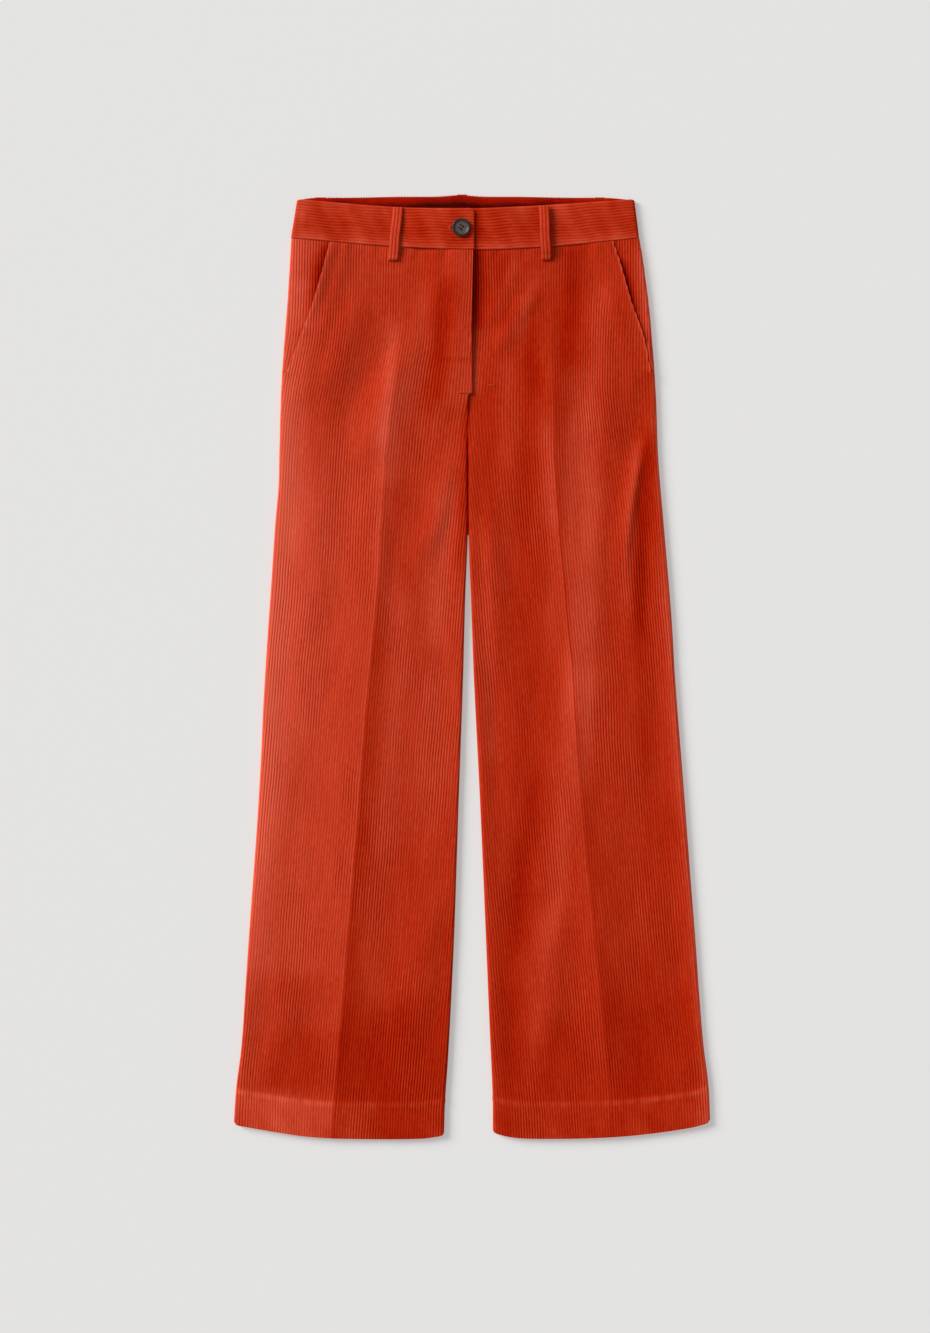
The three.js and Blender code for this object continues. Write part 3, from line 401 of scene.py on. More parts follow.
# Painted light and shade beside a leg's crease
def paintedCreaseLight(legName, fromCrease, level):
    def column(key):
        return readCurve(creasePaintedLight[legName], "y", key, level) * bell(fromCrease, nap[key + "Width"])

    before, after = smooth(0.5 - fromCrease), smooth(0.5 + fromCrease)
    return (column("lighter") + column("glint")) * before, column("darker") * after, column("groove")


# Painted highlight along the stitches of the hem, and painted light on the turned-up cloth below it
def paintedHemLight(x, level, crease):
    outside = smooth((np.abs(x) - np.abs(crease)) / hemPaintedLight["outsideOver"])
    uneven = 1 + 0.30 * np.sin(x / 5.3 + 1.0) * np.sin(x / 14.0) + 0.16 * np.sin(x / 2.3)
    line = uneven * bell(level - hem["turn"] - hemPaintedLight["lineUp"], hemPaintedLight["lineWidth"])
    blotches = np.sin(x / 7.5 + level / 9.0) * np.sin(x / 19.0 + 0.6) * np.sin(level / 12.0 + 0.9)
    below = smooth((hem["turn"] - level) / hemPaintedLight["belowFade"])
    line = line + (hemPaintedLight["below"] + hemPaintedLight["blotches"] * blotches) * below
    return line * (hemPaintedLight["lineInner"] + (hemPaintedLight["line"] - hemPaintedLight["lineInner"]) * outside)


# Tone of a leg's cloth with its painted light and shade: its own level, the painted bands, the crease, the
# seam, the fly and the hem
def napTone(legName, x, y, level):
    tone = nap[legName] + 0 * x
    for patch in napBands[legName]:
        tone = tone + foldHeight(patch, x, y, nap["fade"])
    crease = readCurve(legs[legName]["outline"], "y", "crease", level)
    light, dark, groove = paintedCreaseLight(legName, x - crease, level)
    tone = tone + light - dark - groove
    # painted shade along the centre seam, which is sunk below the fly
    sunk = smooth((seamShade["top"] - level) / seamShade["topFade"])
    ending = smooth((level - seamShade["bottom"]) / seamShade["bottomFade"])
    tone = tone - seamShade["tone"] * bell(np.abs(x - seamShade["x"]), seamShade["width"]) * sunk * ending
    if legName == "left":
        # painted shade and highlight at the tack across the lap
        paintedTack = lapTackPaintedLight
        along = smooth((x - paintedTack["from"]) / paintedTack["fade"]) * smooth((paintedTack["to"] - x) / paintedTack["fade"])
        tone = tone - paintedTack["tone"] * along * bell(level - paintedTack["dark"], paintedTack["darkWidth"])
        light = bell(level - paintedTack["light"], paintedTack["lightWidth"])
        tone = tone + paintedTack["lightShare"] * paintedTack["tone"] * along * light
    else:
        shade = lapShade["tone"] * bell(np.maximum(x - lapShade["from"], 0), lapShade["width"])
        above = smooth((level - fly["bottom"] + lapShade["below"]) / lapShade["belowFade"])
        risen = smooth((level - lapShade["riseFrom"]) / lapShade["riseOver"])
        share = lapShade["low"] + lapShade["rise"] * risen
        tone = tone - shade * above * share
    return tone + paintedHemLight(x, level, crease)


# Slow unevenness of cloth that lies loose, the same in each run: sizes and heights of its swells
swells = ((190, 0.30), (110, 0.22), (60, 0.13), (34, 0.07))


def unevenness(x, y):
    random = np.random.RandomState(7)
    total = np.zeros_like(x)
    for size, height in swells:
        for _ in range(3):
            angle = random.uniform(0, math.pi)
            phase = random.uniform(0, 2 * math.pi)
            stretch = random.uniform(0.7, 1.3)
            along = (x * math.cos(angle) + 0.55 * y * math.sin(angle)) / (size * stretch)
            total += height * np.sin(2 * math.pi * along + phase)
    return total


def frontHeight(legName, ends, across, x, y, level):
    leg = legs[legName]
    flat = pickEnd(leg, ends, across, "flat")
    roll = pickEnd(leg, ends, across, "roll")
    edge = roll * (1 - smooth((flat - np.abs(across)) / lie["edgeFade"]))
    atWaist = smooth((level - waist["riseFrom"]) / (waist["riseTo"] - waist["riseFrom"]))
    atHem = smooth((hem["riseFrom"] - level) / (hem["riseFrom"] - hem["above"]))
    calm = 1 - lie["calmer"] * np.maximum(atWaist, atHem)
    middle = lie["frontHeight"] + lie["waistRise"] * atWaist + lie["hemRise"] * atHem
    rise = smooth((creaseFold["startsAt"] - y) / (creaseFold["startsAt"] - creaseFold["fullAt"]))
    fromCrease = np.sqrt(across ** 2 + creaseFold["softness"])
    tent = np.maximum(0, 1 - fromCrease / creaseFold["reach"]) ** creaseFold["steepness"]
    bumps = creaseFold["height"] * rise * tent
    for fold in folds[legName]:
        bumps = bumps + foldHeight(fold, x, y)
    bumps = np.maximum(bumps + unevenness(x, y), lie["lowest"])
    bumpy = middle + calm * bumps
    return bumpy + (2 * lie["edgeRadius"] - bumpy) * edge


# The hem's corners are rounded where the legs are folded
def cornerRise(flat, across, level):
    past = np.clip((np.abs(across) - flat + hem["cornerInside"]) / hem["cornerWidth"], 0, 1)
    return hem["cornerRise"] * roundOff(past) * smooth((hem["cornerBelow"] - level) / hem["cornerHeight"])


# Where places in the cloth, measured from the crease, lie across a leg and how far round its fold
def roundTheFold(leg, ends, across):
    flat = pickEnd(leg, ends, across, "flat")
    rolled = pickEnd(leg, ends, across, "roll") > 0
    turn = np.where(rolled, np.maximum(np.abs(across) - flat, 0) / lie["edgeRadius"], 0)
    direction = np.sign(across)
    flatAcross = np.where(turn > 0, direction * flat, across)
    x = ends["crease"] + flatAcross + direction * lie["edgeRadius"] * np.sin(turn)
    return x, flat, flatAcross, turn, direction * np.sin(turn)


# Points of a leg's front: across is measured in the cloth from the crease, out from its outer face
def frontPoints(legName, across, level, out=0.0, lift=None):
    leg = legs[legName]
    ends = legEnds(leg, level)
    x, flat, flatAcross, turn, sideways = roundTheFold(leg, ends, across)
    y = bentY(leg, level, x, waistSeam) + cornerRise(flat, across, level)
    z = frontHeight(legName, ends, flatAcross, x, y, level)
    if lift is not None:
        z = z + lift(x, level, ends)
    z = z - lie["edgeRadius"] * (1 - np.cos(turn)) + np.cos(turn) * out
    return np.stack([x + sideways * out, y + 0 * x, z], axis=-1)


backLoops = {
    "belt_loop_back_left": {"x": -170.0, "top": 526.0, "bottom": 455.0},
    "belt_loop_back_centre": {"x": -11.2, "top": 529.2, "bottom": 455.0},
    "belt_loop_back_right": {"x": 143.4, "top": 526.0, "bottom": 455.0},
}
backLoopLift = {"height": 1.75, "full": 7.5, "end": 30.0, "goneAt": 405.0, "fullAt": 448.0}


def loopLift(x, level):
    lift = backLoopLift
    fade = smooth((level - lift["goneAt"]) / (lift["fullAt"] - lift["goneAt"]))
    near = 0
    for loop in backLoops.values():
        away = np.abs(x - loop["x"]) - lift["full"]
        near = np.maximum(near, 1 - smooth(away / (lift["end"] - lift["full"])))
    return lift["height"] * fade * near


# Shallow creases where the back stands off the table, and its pressed crease: rows as for folds
backFolds = {
    "left": [
        (-196, 330, -168, 240, -150, 120, 9, 15, 0.55),
        (-60, 300, -82, 180, -118, 70, 12, 9, 0.62),
        (-120, -20, -96, -150, -84, -260, 14, 10, 0.45),
        (-225, -120, -205, -250, -212, -400, 10, 16, 0.5),
        (-130, 300, -150, -80, -168, -470, 2.2, 2.2, 0.45),
    ],
    "right": [
        (52, 310, 70, 210, 104, 100, 9, 13, 0.6),
        (176, 340, 158, 220, 160, 60, 14, 9, 0.52),
        (92, 20, 84, -120, 98, -240, 10, 15, 0.48),
        (196, -160, 210, -290, 205, -420, 15, 10, 0.42),
        (116, 300, 134, -80, 152, -470, 2.2, 2.2, 0.45),
    ],
}


def backCreases(legName, x, y):
    rise = 0 * x
    for fold in backFolds[legName]:
        rise = rise + foldHeight(fold, x, y)
    return np.minimum(rise, backLook["highestCrease"])


def backPoints(legName, across, level, out=0.0):
    leg = legs[legName]
    x, flat, _, turn, sideways = roundTheFold(leg, legEnds(leg, level), across)
    y = bentY(leg, level, x, None) + cornerRise(flat, across, level)
    lift = loopLift(x, level) + backCreases(legName, x, y + 0 * x)
    lift = lift * np.cos(np.minimum(turn, math.pi / 2))
    z = lift + lie["edgeRadius"] * (1 - np.cos(turn)) - np.cos(turn) * out
    return np.stack([x + sideways * out, y + 0 * x, z], axis=-1)


# The pile's value on the inside of the cloth, between its tops and its grooves
insidePile = 0.45


# A face grid: rows from the top down, columns from left to right. Places held at an end share one point.
def makeGrid(across, level, points, fromEnd, toEnd, **values):
    rows, columns = across.shape
    index = np.arange(rows * columns).reshape(rows, columns)
    order = np.arange(columns)[None, :]
    heldLeft = across <= fromEnd + 1e-6
    heldRight = across >= toEnd - 1e-6
    lastLeft = np.max(np.where(heldLeft, order, 0), axis=1)
    firstRight = np.min(np.where(heldRight, order, columns - 1), axis=1)
    for row in range(rows):
        index[row, :lastLeft[row]] = index[row, lastLeft[row]]
        index[row, firstRight[row] + 1:] = index[row, firstRight[row]]
    down = -level[:, 0] * np.ones(rows)
    return {"index": index, "points": points, "across": across, "down": down, **values}


def gridFaces(index, offset, flip):
    a, b = index[:-1, :-1] + offset, index[:-1, 1:] + offset
    c, d = index[1:, :-1] + offset, index[1:, 1:] + offset
    faces = []
    for p, q, r, s in zip(a.ravel().tolist(), b.ravel().tolist(), c.ravel().tolist(), d.ravel().tolist()):
        loop = [p, r, s, q]
        short = [v for k, v in enumerate(loop) if v != loop[k - 1]]
        if len(short) > 2 and len(set(short)) == len(short):
            faces.append(short[::-1] if flip else short)
    return faces


# Closes the gap between an edge of the outer grid and the same edge of the inner one
def zipEdge(outerLine, innerLine, outerAt, innerAt, flip):
    faces = []
    a = b = 0
    while a + 1 < len(outerLine) or b + 1 < len(innerLine):
        outerNext = a + 1 < len(outerLine) and (b + 1 >= len(innerLine) or outerAt[a + 1] <= innerAt[b + 1])
        if outerNext:
            face = [outerLine[a], outerLine[a + 1], innerLine[b]]
            a += 1
        else:
            face = [outerLine[a], innerLine[b + 1], innerLine[b]]
            b += 1
        if len(set(face)) == 3:
            faces.append(face[::-1] if flip else face)
    return faces


# Faces of a closed wall: its outer and inner grids and the strips round its four edges
def wallFaces(outer, inner, outerCount, facesUp):
    faces = gridFaces(outer["index"], 0, False) + gridFaces(inner["index"], outerCount, True)
    oi, ii = outer["index"], inner["index"] + outerCount
    for row in (0, -1):
        outerEdge, innerEdge = oi[row].tolist(), ii[row].tolist()
        faces += zipEdge(outerEdge, innerEdge, outer["across"][row], inner["across"][row], row < 0)
    for column in (0, -1):
        outerEdge, innerEdge = oi[:, column].tolist(), ii[:, column].tolist()
        faces += zipEdge(outerEdge, innerEdge, outer["down"], inner["down"], column == 0)
    return faces if facesUp else [face[::-1] for face in faces]


def storeValues(mesh, name, values):
    stored = mesh.attributes.new(name, "FLOAT", "POINT")
    stored.data.foreach_set("value", values.astype(np.float32))


def selectOnly(piece):
    deselectAll()
    piece.select_set(True)
    bpy.context.view_layer.objects.active = piece


def deselectAll():
    bpy.ops.object.select_all(action="DESELECT")


def addPiece(name, data):
    piece = bpy.data.objects.new(name, data)
    bpy.context.scene.collection.objects.link(piece)
    return piece


# A closed wall of cloth from an outer and an inner grid, with the pile's height and the weave's place on it
def clothWall(name, outer, inner, facesUp, material):
    outerCount = outer["points"].reshape(-1, 3).shape[0]
    points = np.concatenate([outer["points"].reshape(-1, 3), inner["points"].reshape(-1, 3)]) * mm
    faces = wallFaces(outer, inner, outerCount, facesUp)
    used = np.zeros(len(points), bool)
    used[np.array([v for face in faces for v in face])] = True
    renumber = np.cumsum(used) - 1
    mesh = bpy.data.meshes.new(name)
    mesh.from_pydata(points[used].tolist(), [], [[int(renumber[v]) for v in face] for face in faces])
    pile = np.concatenate([outer["pile"].ravel(), np.full(len(points) - outerCount, insidePile)])[used]
    along = np.concatenate([outer["along"].reshape(-1, 2), inner["along"].reshape(-1, 2)])[used]
    tone = np.concatenate([(grid["nap"] + 0 * grid["across"]).ravel() for grid in (outer, inner)])[used]
    storeValues(mesh, "nap", tone)
    storeValues(mesh, "pile", pile)
    weave = mesh.attributes.new("weave", "FLOAT_VECTOR", "POINT")
    vectors = np.column_stack([along * mm, np.zeros(len(along))]).astype(np.float32)
    weave.data.foreach_set("vector", vectors.ravel())
    mesh.materials.append(material)
    mesh.update()
    piece = addPiece(name, mesh)
    selectOnly(piece)
    bpy.ops.object.shade_smooth_by_angle(angle=math.radians(62))
    return piece


def waleProfile(turn):
    return np.abs(np.sin(turn)) ** cloth["waleRoundness"]


# Places on the wales between two ends, held at the ends past them, and the height of the pile at each
def walePlaces(fromEnd, toEnd, shift=None):
    count = cloth["columnsPerWale"]
    step = cloth["walePitch"] / count
    first = -int(math.ceil(cloth["waleReach"] / step))
    k = np.arange(first, -first + 1)
    straight = k[None, :] * step + 0 * fromEnd
    leaning = straight if shift is None else straight + shift(straight)
    places = np.clip(leaning, fromEnd, toEnd)
    nearEnd = 0.25
    places = np.where(places < fromEnd + nearEnd, fromEnd, np.where(places > toEnd - nearEnd, toEnd, places))
    held = (places <= fromEnd + 1e-6) | (places >= toEnd - 1e-6)
    atEnd = waleProfile(math.pi * places / cloth["walePitch"])
    return places, np.where(held, atEnd, waleProfile(math.pi * k / count)[None, :])


# Where each point lies in the weave, which the shader reads
def weaveAt(across, down):
    return np.stack([across + 0 * down, down + 0 * across], axis=-1)


# The inside of a leg's cloth, without wales
def insideGrid(places, level, points, fromEnd, toEnd):
    return makeGrid(places, level, points, fromEnd, toEnd, along=weaveAt(places, level), nap=nap["inside"])


def plainPlaces(fromEnd, toEnd, nearLeft, nearRight, middles):
    left = fromEnd + np.array(nearLeft)[None, :]
    right = toEnd - np.array(nearRight)[::-1][None, :]
    share = (np.arange(middles) + 1)[None, :] / (middles + 1)
    middle = left[:, -1:] + (right[:, :1] - left[:, -1:]) * share
    return np.concatenate([left, middle, right], axis=1)


foldedEnd = [0, 0.8, 1.6, 2.4, 3.2, 4.0, 4.8, 8, 14, 20]
flatEnd = [0, 2, 4, 6, 10, 14, 19, 24, 30, 37]
neededRows = [
    468, 466.6, 465.2, 463.5, 448, 330, 329.6, 322, 306, 304.5, 298, 215,
    -478, -485, -488, -491, -494, -497, -528,
]


# Close rows down the leg, with the few that the cut needs among them
def legLevels(top=468.0, bottom=-528.0, step=None):
    wanted = [bottom] + neededRows
    count = int(round((top - bottom) / (step or lie["rowStep"])))
    rows = list(np.linspace(top, bottom, count + 1)) + [v for v in wanted if bottom <= v <= top]
    rows = sorted(set(rows), reverse=True)
    kept = [rows[0]]
    for v in rows[1:]:
        close = kept[-1] - v <= lie["closestRows"]
        if not close or v in wanted:
            if close and kept[-1] not in wanted:
                kept.pop()
            kept.append(v)
    return np.array(kept)[:, None]


# How far the cloth reaches from the crease to an edge that is folded round
def foldReach(end, turn):
    return end["flat"] + lie["edgeRadius"] * turn - cloth["seamGap"] / 2


def innerReach(ends):
    inner = ends["inner"]
    flatReach = np.abs(inner["edge"] - ends["crease"])
    return np.where(inner["roll"] > 0, foldReach(inner, inner["turn"]), flatReach)


# Both ends from left to right, from how far the cloth reaches inwards and to the side
def sided(leg, inwards, outwards):
    return (-outwards, inwards) if leg["side"] < 0 else (-inwards, outwards)


def mouthReach(leg, level, ends):
    return np.abs(readCurve(leg["pocketMouth"], "y", "x", level) - ends["crease"])


def frontLimits(legName, level):
    leg = legs[legName]
    ends = legEnds(leg, level)
    lapEdge = readCurve(fly["lapEdge"], "y", "x", level) if legName == "left" else fly["underEdge"]
    inwards = np.where(level >= fly["bottom"], np.abs(lapEdge - ends["crease"]), innerReach(ends))
    outwards = foldReach(ends["side"], ends["side"]["turn"])
    outwards = np.where(level >= pocket["bottom"], mouthReach(leg, level, ends), outwards)
    return sided(leg, inwards, outwards)


# The front stands higher over the hip piece and, on the left, over the other front at the fly
def frontLift(legName):
    leg = legs[legName]

    def lift(x, level, ends):
        mouth = readCurve(leg["pocketMouth"], "y", "x", level)
        fromMouth = (mouth - x) * leg["side"]
        full = 1 - smooth((fromMouth - pocket["liftFull"]) / (pocket["liftEnd"] - pocket["liftFull"]))
        gape = leg["mouthGape"] * (1 - smooth(fromMouth / pocket["gapeReach"]))
        gape = gape * smooth((level - pocket["gapeFrom"]) / pocket["gapeOver"])
        gape = gape * (1 - smooth((level - pocket["closes"][legName]) / pocket["closesOver"]))
        fromEdge = np.abs(ends["side"]["edge"] - x) - lie["edgeRadius"]
        below = smooth((level - pocket["liftGone"]) / (pocket["bottom"] - pocket["liftGone"]))
        away = smooth(fromEdge / lie["edgeFade"])
        inCorner = smooth((level - pocket["cornerGone"]) / (pocket["bottom"] - pocket["cornerGone"]))
        away = away + (1 - away) * inCorner
        rise = np.where(level >= pocket["bottom"], pocket["lift"] * full + gape,
                        pocket["lift"] * full * below * away)
        if legName == "right":
            return rise
        fromLap = readCurve(fly["lapEdge"], "y", "x", level) - x
        near = smooth((fromLap - fly["liftFull"]) / (fly["liftFacing"] - fly["liftFull"]))
        far = smooth((fromLap - fly["liftFacing"]) / (fly["liftEnd"] - fly["liftFacing"]))
        fade = smooth((level - fly["liftGone"]) / (fly["bottom"] - fly["liftGone"]))
        aboveEnd = smooth((level - fly["bottom"]) / fly["endOver"])
        lap = fly["endLift"] + (fly["lift"] - fly["endLift"]) * aboveEnd
        return rise + (lap + (fly["facingLift"] - lap) * near) * (1 - far) * fade

    return lift


# How high the wales stand: none where the cloth turns under at the fork, nor under the lap of the fly
def waleRise(legName, across, level, x):
    leg = legs[legName]
    ends = legEnds(leg, level)
    flat = pickEnd(leg, ends, across, "flat")
    roll = pickEnd(leg, ends, across, "roll")
    past = np.maximum(0, np.abs(across) - flat) / lie["edgeRadius"]
    turned = np.where(roll > 0, np.cos(np.minimum(past, math.pi / 2)), 1)
    covered = smooth((x - fly["coveredTo"]) / fly["coveredOver"]) if legName == "right" else 1
    covered = np.where(level >= crotch["forkStart"] - 1, covered, 1)
    return cloth["waleHeight"] * turned * covered


# The turned-up hem shows as a low ridge along the row of blind stitches
def hemRidge(level):
    ridge = hem["ridge"] * bell(level - hem["turn"] - hem["ridgeUp"], hem["ridgeWidth"])
    return ridge + hem["dip"] * bell(level - hem["turn"] + hem["dipDown"], hem["dipWidth"]) - seamDip(level)


# Cloth turns down into the seam below the waistband, with small puckers
def seamDip(level):
    return waist["dip"] * smooth((level - waist["dipFrom"]) / waist["dipOver"])


def puckers(places, level):
    near = smooth((level - waist["puckerFrom"]) / waist["puckerFull"])
    near = near * (1 - smooth((level - waist["puckerEnd"]) / waist["puckerFade"]))
    bumps = np.sin(places / 2.9 + 0.6 * np.sin(places / 13.0)) * np.sin(places / 11.0 + 0.8)
    return waist["pucker"] * bumps * near


# Painted highlight where the cloth turns down at its folded edges: how much lighter it is painted
def paintedRimLight(legName, ends, across, level):
    leg = legs[legName]
    flat = pickEnd(leg, ends, across, "flat")
    rolled = pickEnd(leg, ends, across, "roll")
    past = (np.abs(across) - flat + nap["rimWidth"]) / (lie["edgeRadius"] + nap["rimWidth"])
    share = np.where(across * leg["side"] > 0, 1.0, nap["innerRimShare"])
    rim = nap["rim"][legName] * share * rolled * smooth(past)
    if legName == "right":
        # painted light: on the side away from the light the very edge is painted lighter
        turn = (np.abs(across) - flat) / lie["edgeRadius"]
        last = smooth((turn - nap["outermostFrom"]) / nap["outermostOver"])
        return rim + nap["outermost"] * rolled * (across > 0) * last
    # painted light: the left silhouette is painted lit over a wider strip, down to the knee
    lit = smooth((level - nap["sideLightFrom"]) / nap["sideLightOver"])
    return rim + nap["sideLight"] * lit * bell(np.maximum(across + flat, 0), nap["sideLightWidth"])


# Where the wales lean: at the fork away from the centre seam, and below the right pocket with the fold
waleLeans = {
    "left": [{"x": -4.8, "reach": 44.0, "y": [380, 320, 290, 215, 140], "shift": [0, 6.8, 9.8, 4.9, 0]}],
    "right": [
        {"x": -4.5, "reach": 44.0, "y": [380, 320, 290, 215, 140], "shift": [0, -6.8, -9.8, -4.9, 0]},
        {"x": 165.0, "reach": 42.0, "y": [430, 320, 240, 160, -100], "shift": [0, -6, 0, 5, 0]},
    ],
}


def leanShift(legName, level):
    crease = readCurve(legs[legName]["outline"], "y", "crease", level)

    def shift(straight):
        total = 0 * straight
        for lean in waleLeans[legName]:
            away = crease + straight - lean["x"]
            total = total + readCurve(lean, "y", "shift", level) * bell(away, lean["reach"])
        return total

    return shift


# Wales wander a little along their length, less near the edges
def wander(places, level, fromEnd, toEnd):
    fromEdge = np.minimum(places - fromEnd, toEnd - places)
    slow = np.sin(level / 37.0 + places / 41.0) + 0.7 * np.sin(level / 15.0 + places / 23.0 + 1.3)
    quick = 0.35 * np.sin(level / 6.5 + places / 9.0)
    return lie["wander"] * (slow + quick) * smooth(fromEdge / lie["wanderEdge"])


# The pile is pressed flatter in some places than in others: the share of its height that is left
def wornPile(x, y):
    patches = np.sin(x / 21.0 + 1.1 + 0.8 * np.sin(y / 83.0)) * np.sin(y / 58.0 + 0.5 + x / 70.0)
    patches = patches + 0.6 * np.sin(x / 9.5 + y / 47.0) * np.sin(y / 31.0 - x / 37.0 + 2.0)
    return worn["usual"] + worn["range"] * np.clip(patches, -1.4, 1.2)


# Columns of the inside of a front: close at its ends, where it is folded below the fork, and wide between
def insidePlaces(legName, level, fromEnd, toEnd):
    forked = level < crotch["forkStart"]
    folded = np.array(foldedEnd)[None, :]
    atInner = np.where(forked, folded, np.array(flatEnd)[None, :])
    atSide = folded + 0 * atInner
    left, right = (atInner, atSide) if legName == "right" else (atSide, atInner)
    leftPlaces, rightPlaces = fromEnd + left, (toEnd - right)[:, ::-1]
    share = np.linspace(0, 1, 16)[None, 1:-1]
    middle = leftPlaces[:, -1:] + (rightPlaces[:, :1] - leftPlaces[:, -1:]) * share
    return np.concatenate([leftPlaces, middle, rightPlaces], axis=1)


def frontPanel(legName, material):
    leg = legs[legName]
    level = legLevels()
    lift = frontLift(legName)
    fromEnd, toEnd = frontLimits(legName, level)
    places, pile = walePlaces(fromEnd, toEnd, leanShift(legName, level))
    plain = frontPoints(legName, places, level, 0.0, lift)
    standing = wornPile(plain[..., 0], plain[..., 1])
    rise = waleRise(legName, places, level, plain[..., 0]) * standing
    out = pile * rise + hemRidge(level) + puckers(places, level)
    points = frontPoints(legName, places + wander(places, level, fromEnd, toEnd), level, out, lift)
    # cut across its wales, the edge of the pocket's mouth is scalloped
    mouthEnd = fromEnd if leg["side"] < 0 else toEnd
    atMouth = (np.abs(places - mouthEnd) < 1e-6) & (level >= pocket["bottom"])
    points[..., 0] += np.where(atMouth, leg["side"] * pocket["scallop"] * (pile - 0.6), 0)
    # painted light and shade on the front, with painted highlights on its folded edges
    tone = napTone(legName, plain[..., 0], plain[..., 1], level)
    tone = tone + paintedRimLight(legName, legEnds(leg, level), places, level)
    # painted highlight along the front's edge at the pocket's mouth
    edgeLight = nap["mouthEdgeHighlight"] * bell(places - mouthEnd, nap["mouthEdgeHighlightWidth"])
    tone = tone + edgeLight * (level >= pocket["bottom"])
    shownPile = 0.5 + (pile - 0.5) * (2 * standing - 1)
    along = weaveAt(places, level)
    outer = makeGrid(places, level, points, fromEnd, toEnd, pile=shownPile, along=along, nap=tone)
    innerPlaces = insidePlaces(legName, level, fromEnd, toEnd)
    wall = np.where(level <= hem["turn"], cloth["hemWall"], cloth["wall"])
    innerPoints = frontPoints(legName, innerPlaces, level, -wall, lift)
    inner = insideGrid(innerPlaces, level, innerPoints, fromEnd, toEnd)
    return clothWall("cloth_front_leg_" + legName, outer, inner, True, material)


def backPanel(legName, material):
    leg = legs[legName]
    level = legLevels(step=backLook["rowStep"])
    ends = legEnds(leg, level)
    fromEnd, toEnd = sided(leg, innerReach(ends), foldReach(ends["side"], math.pi - lie["sideSeamTurn"]))
    places, pile = walePlaces(fromEnd, toEnd)
    turn = np.maximum(np.abs(places) - pickEnd(leg, ends, places, "flat"), 0) / lie["edgeRadius"]
    # the wales are pressed on the table below and stand out where the back comes round the side
    stand = np.where(places * leg["side"] > 0, smooth(turn / backLook["standTurn"]), 0)
    rise = cloth["waleHeight"] * (stand * pile - (1 - stand) * backLook["pressed"] * (1 - pile))
    points = backPoints(legName, places, level, rise)
    # painted light and shade on the back, as on the fronts
    tone = napTone(legName, points[..., 0], points[..., 1], level) + paintedRimLight(legName, ends, places, level)
    outer = makeGrid(places, level, points, fromEnd, toEnd, pile=pile, along=weaveAt(places, level), nap=tone)
    innerPlaces = plainPlaces(fromEnd, toEnd, foldedEnd, foldedEnd, backLook["insideColumns"])
    wall = np.where(level <= hem["turn"], cloth["hemWall"], cloth["backWall"])
    innerPoints = backPoints(legName, innerPlaces, level, -wall)
    inner = insideGrid(innerPlaces, level, innerPoints, fromEnd, toEnd)
    return clothWall("cloth_back_leg_" + legName, outer, inner, False, material)


# Low down on the right the hip piece lies nearly flush with the front, so its mouth looks closed
def facingLift(legName):
    leg = legs[legName]

    def lift(x, level, ends):
        mouth = readCurve(leg["pocketMouth"], "y", "x", level)
        beyond = (x - mouth) * leg["side"]
        strip = np.maximum(np.abs(ends["side"]["edge"] - mouth), 1.0)
        low = smooth((pocket["flushFrom"] - level) / pocket["flushOver"])
        low = low * smooth((level - pocket["bottom"] - 1) / 4)
        near = smooth(beyond / pocket["flushWidth"] - 0.2)
        return pocket["flush"][legName] * low * near * (1 - smooth(beyond / strip))

    return lift


# Painted shade in the gap of the pocket's mouth, deeper higher up
def mouthPaintedShade(legName, level, beyond):
    shade = mouthShade
    lowest = shade["lowest"][legName]
    low = lowest + (shade["low"] - lowest) * smooth((level - shade["lowFrom"]) / shade["lowOver"])
    high = shade["low"] + shade["deep"] * smooth((level - shade["deepFrom"]) / shade["deepOver"])
    depth = np.where(level < shade["lowTo"], low, high)
    depth = depth * (1 - shade["closed"] * smooth((level - pocket["closes"][legName]) / shade["closedOver"]))
    return nap["mouthGapShade"] * bell(np.maximum(beyond, 0), nap["mouthGapShadeWidth"][legName]) * depth


def pocketFacing(legName, material):
    leg = legs[legName]
    lift = facingLift(legName)
    level = legLevels(bottom=pocket["facingEnd"], step=pocket["facingStep"])
    ends = legEnds(leg, level)
    mouth = mouthReach(leg, level, ends)
    fromEnd, toEnd = sided(leg, pocket["under"] - mouth, foldReach(ends["side"], ends["side"]["turn"]))
    places, pile = walePlaces(fromEnd, toEnd)
    beyond = np.abs(places) - mouth
    showing = smooth((beyond - 0.3) / 2)
    points = frontPoints(legName, places, level, cloth["waleHeight"] * pile * showing, lift)
    # painted light and shade, with painted shade in the gap of the mouth
    tone = napTone(legName, points[..., 0], points[..., 1], level) + paintedRimLight(legName, ends, places, level)
    tone = tone - mouthPaintedShade(legName, level, beyond)
    outer = makeGrid(places, level, points, fromEnd, toEnd, pile=pile, along=weaveAt(places, level), nap=tone)
    nearSide, nearMouth = foldedEnd[:8], [0]
    nearEnds = (nearSide, nearMouth) if leg["side"] < 0 else (nearMouth, nearSide)
    innerPlaces = plainPlaces(fromEnd, toEnd, *nearEnds, 5)
    innerPoints = frontPoints(legName, innerPlaces, level, -cloth["wall"], lift)
    inner = insideGrid(innerPlaces, level, innerPoints, fromEnd, toEnd)
    return clothWall("cloth_pocket_facing_" + legName, outer, inner, True, material)


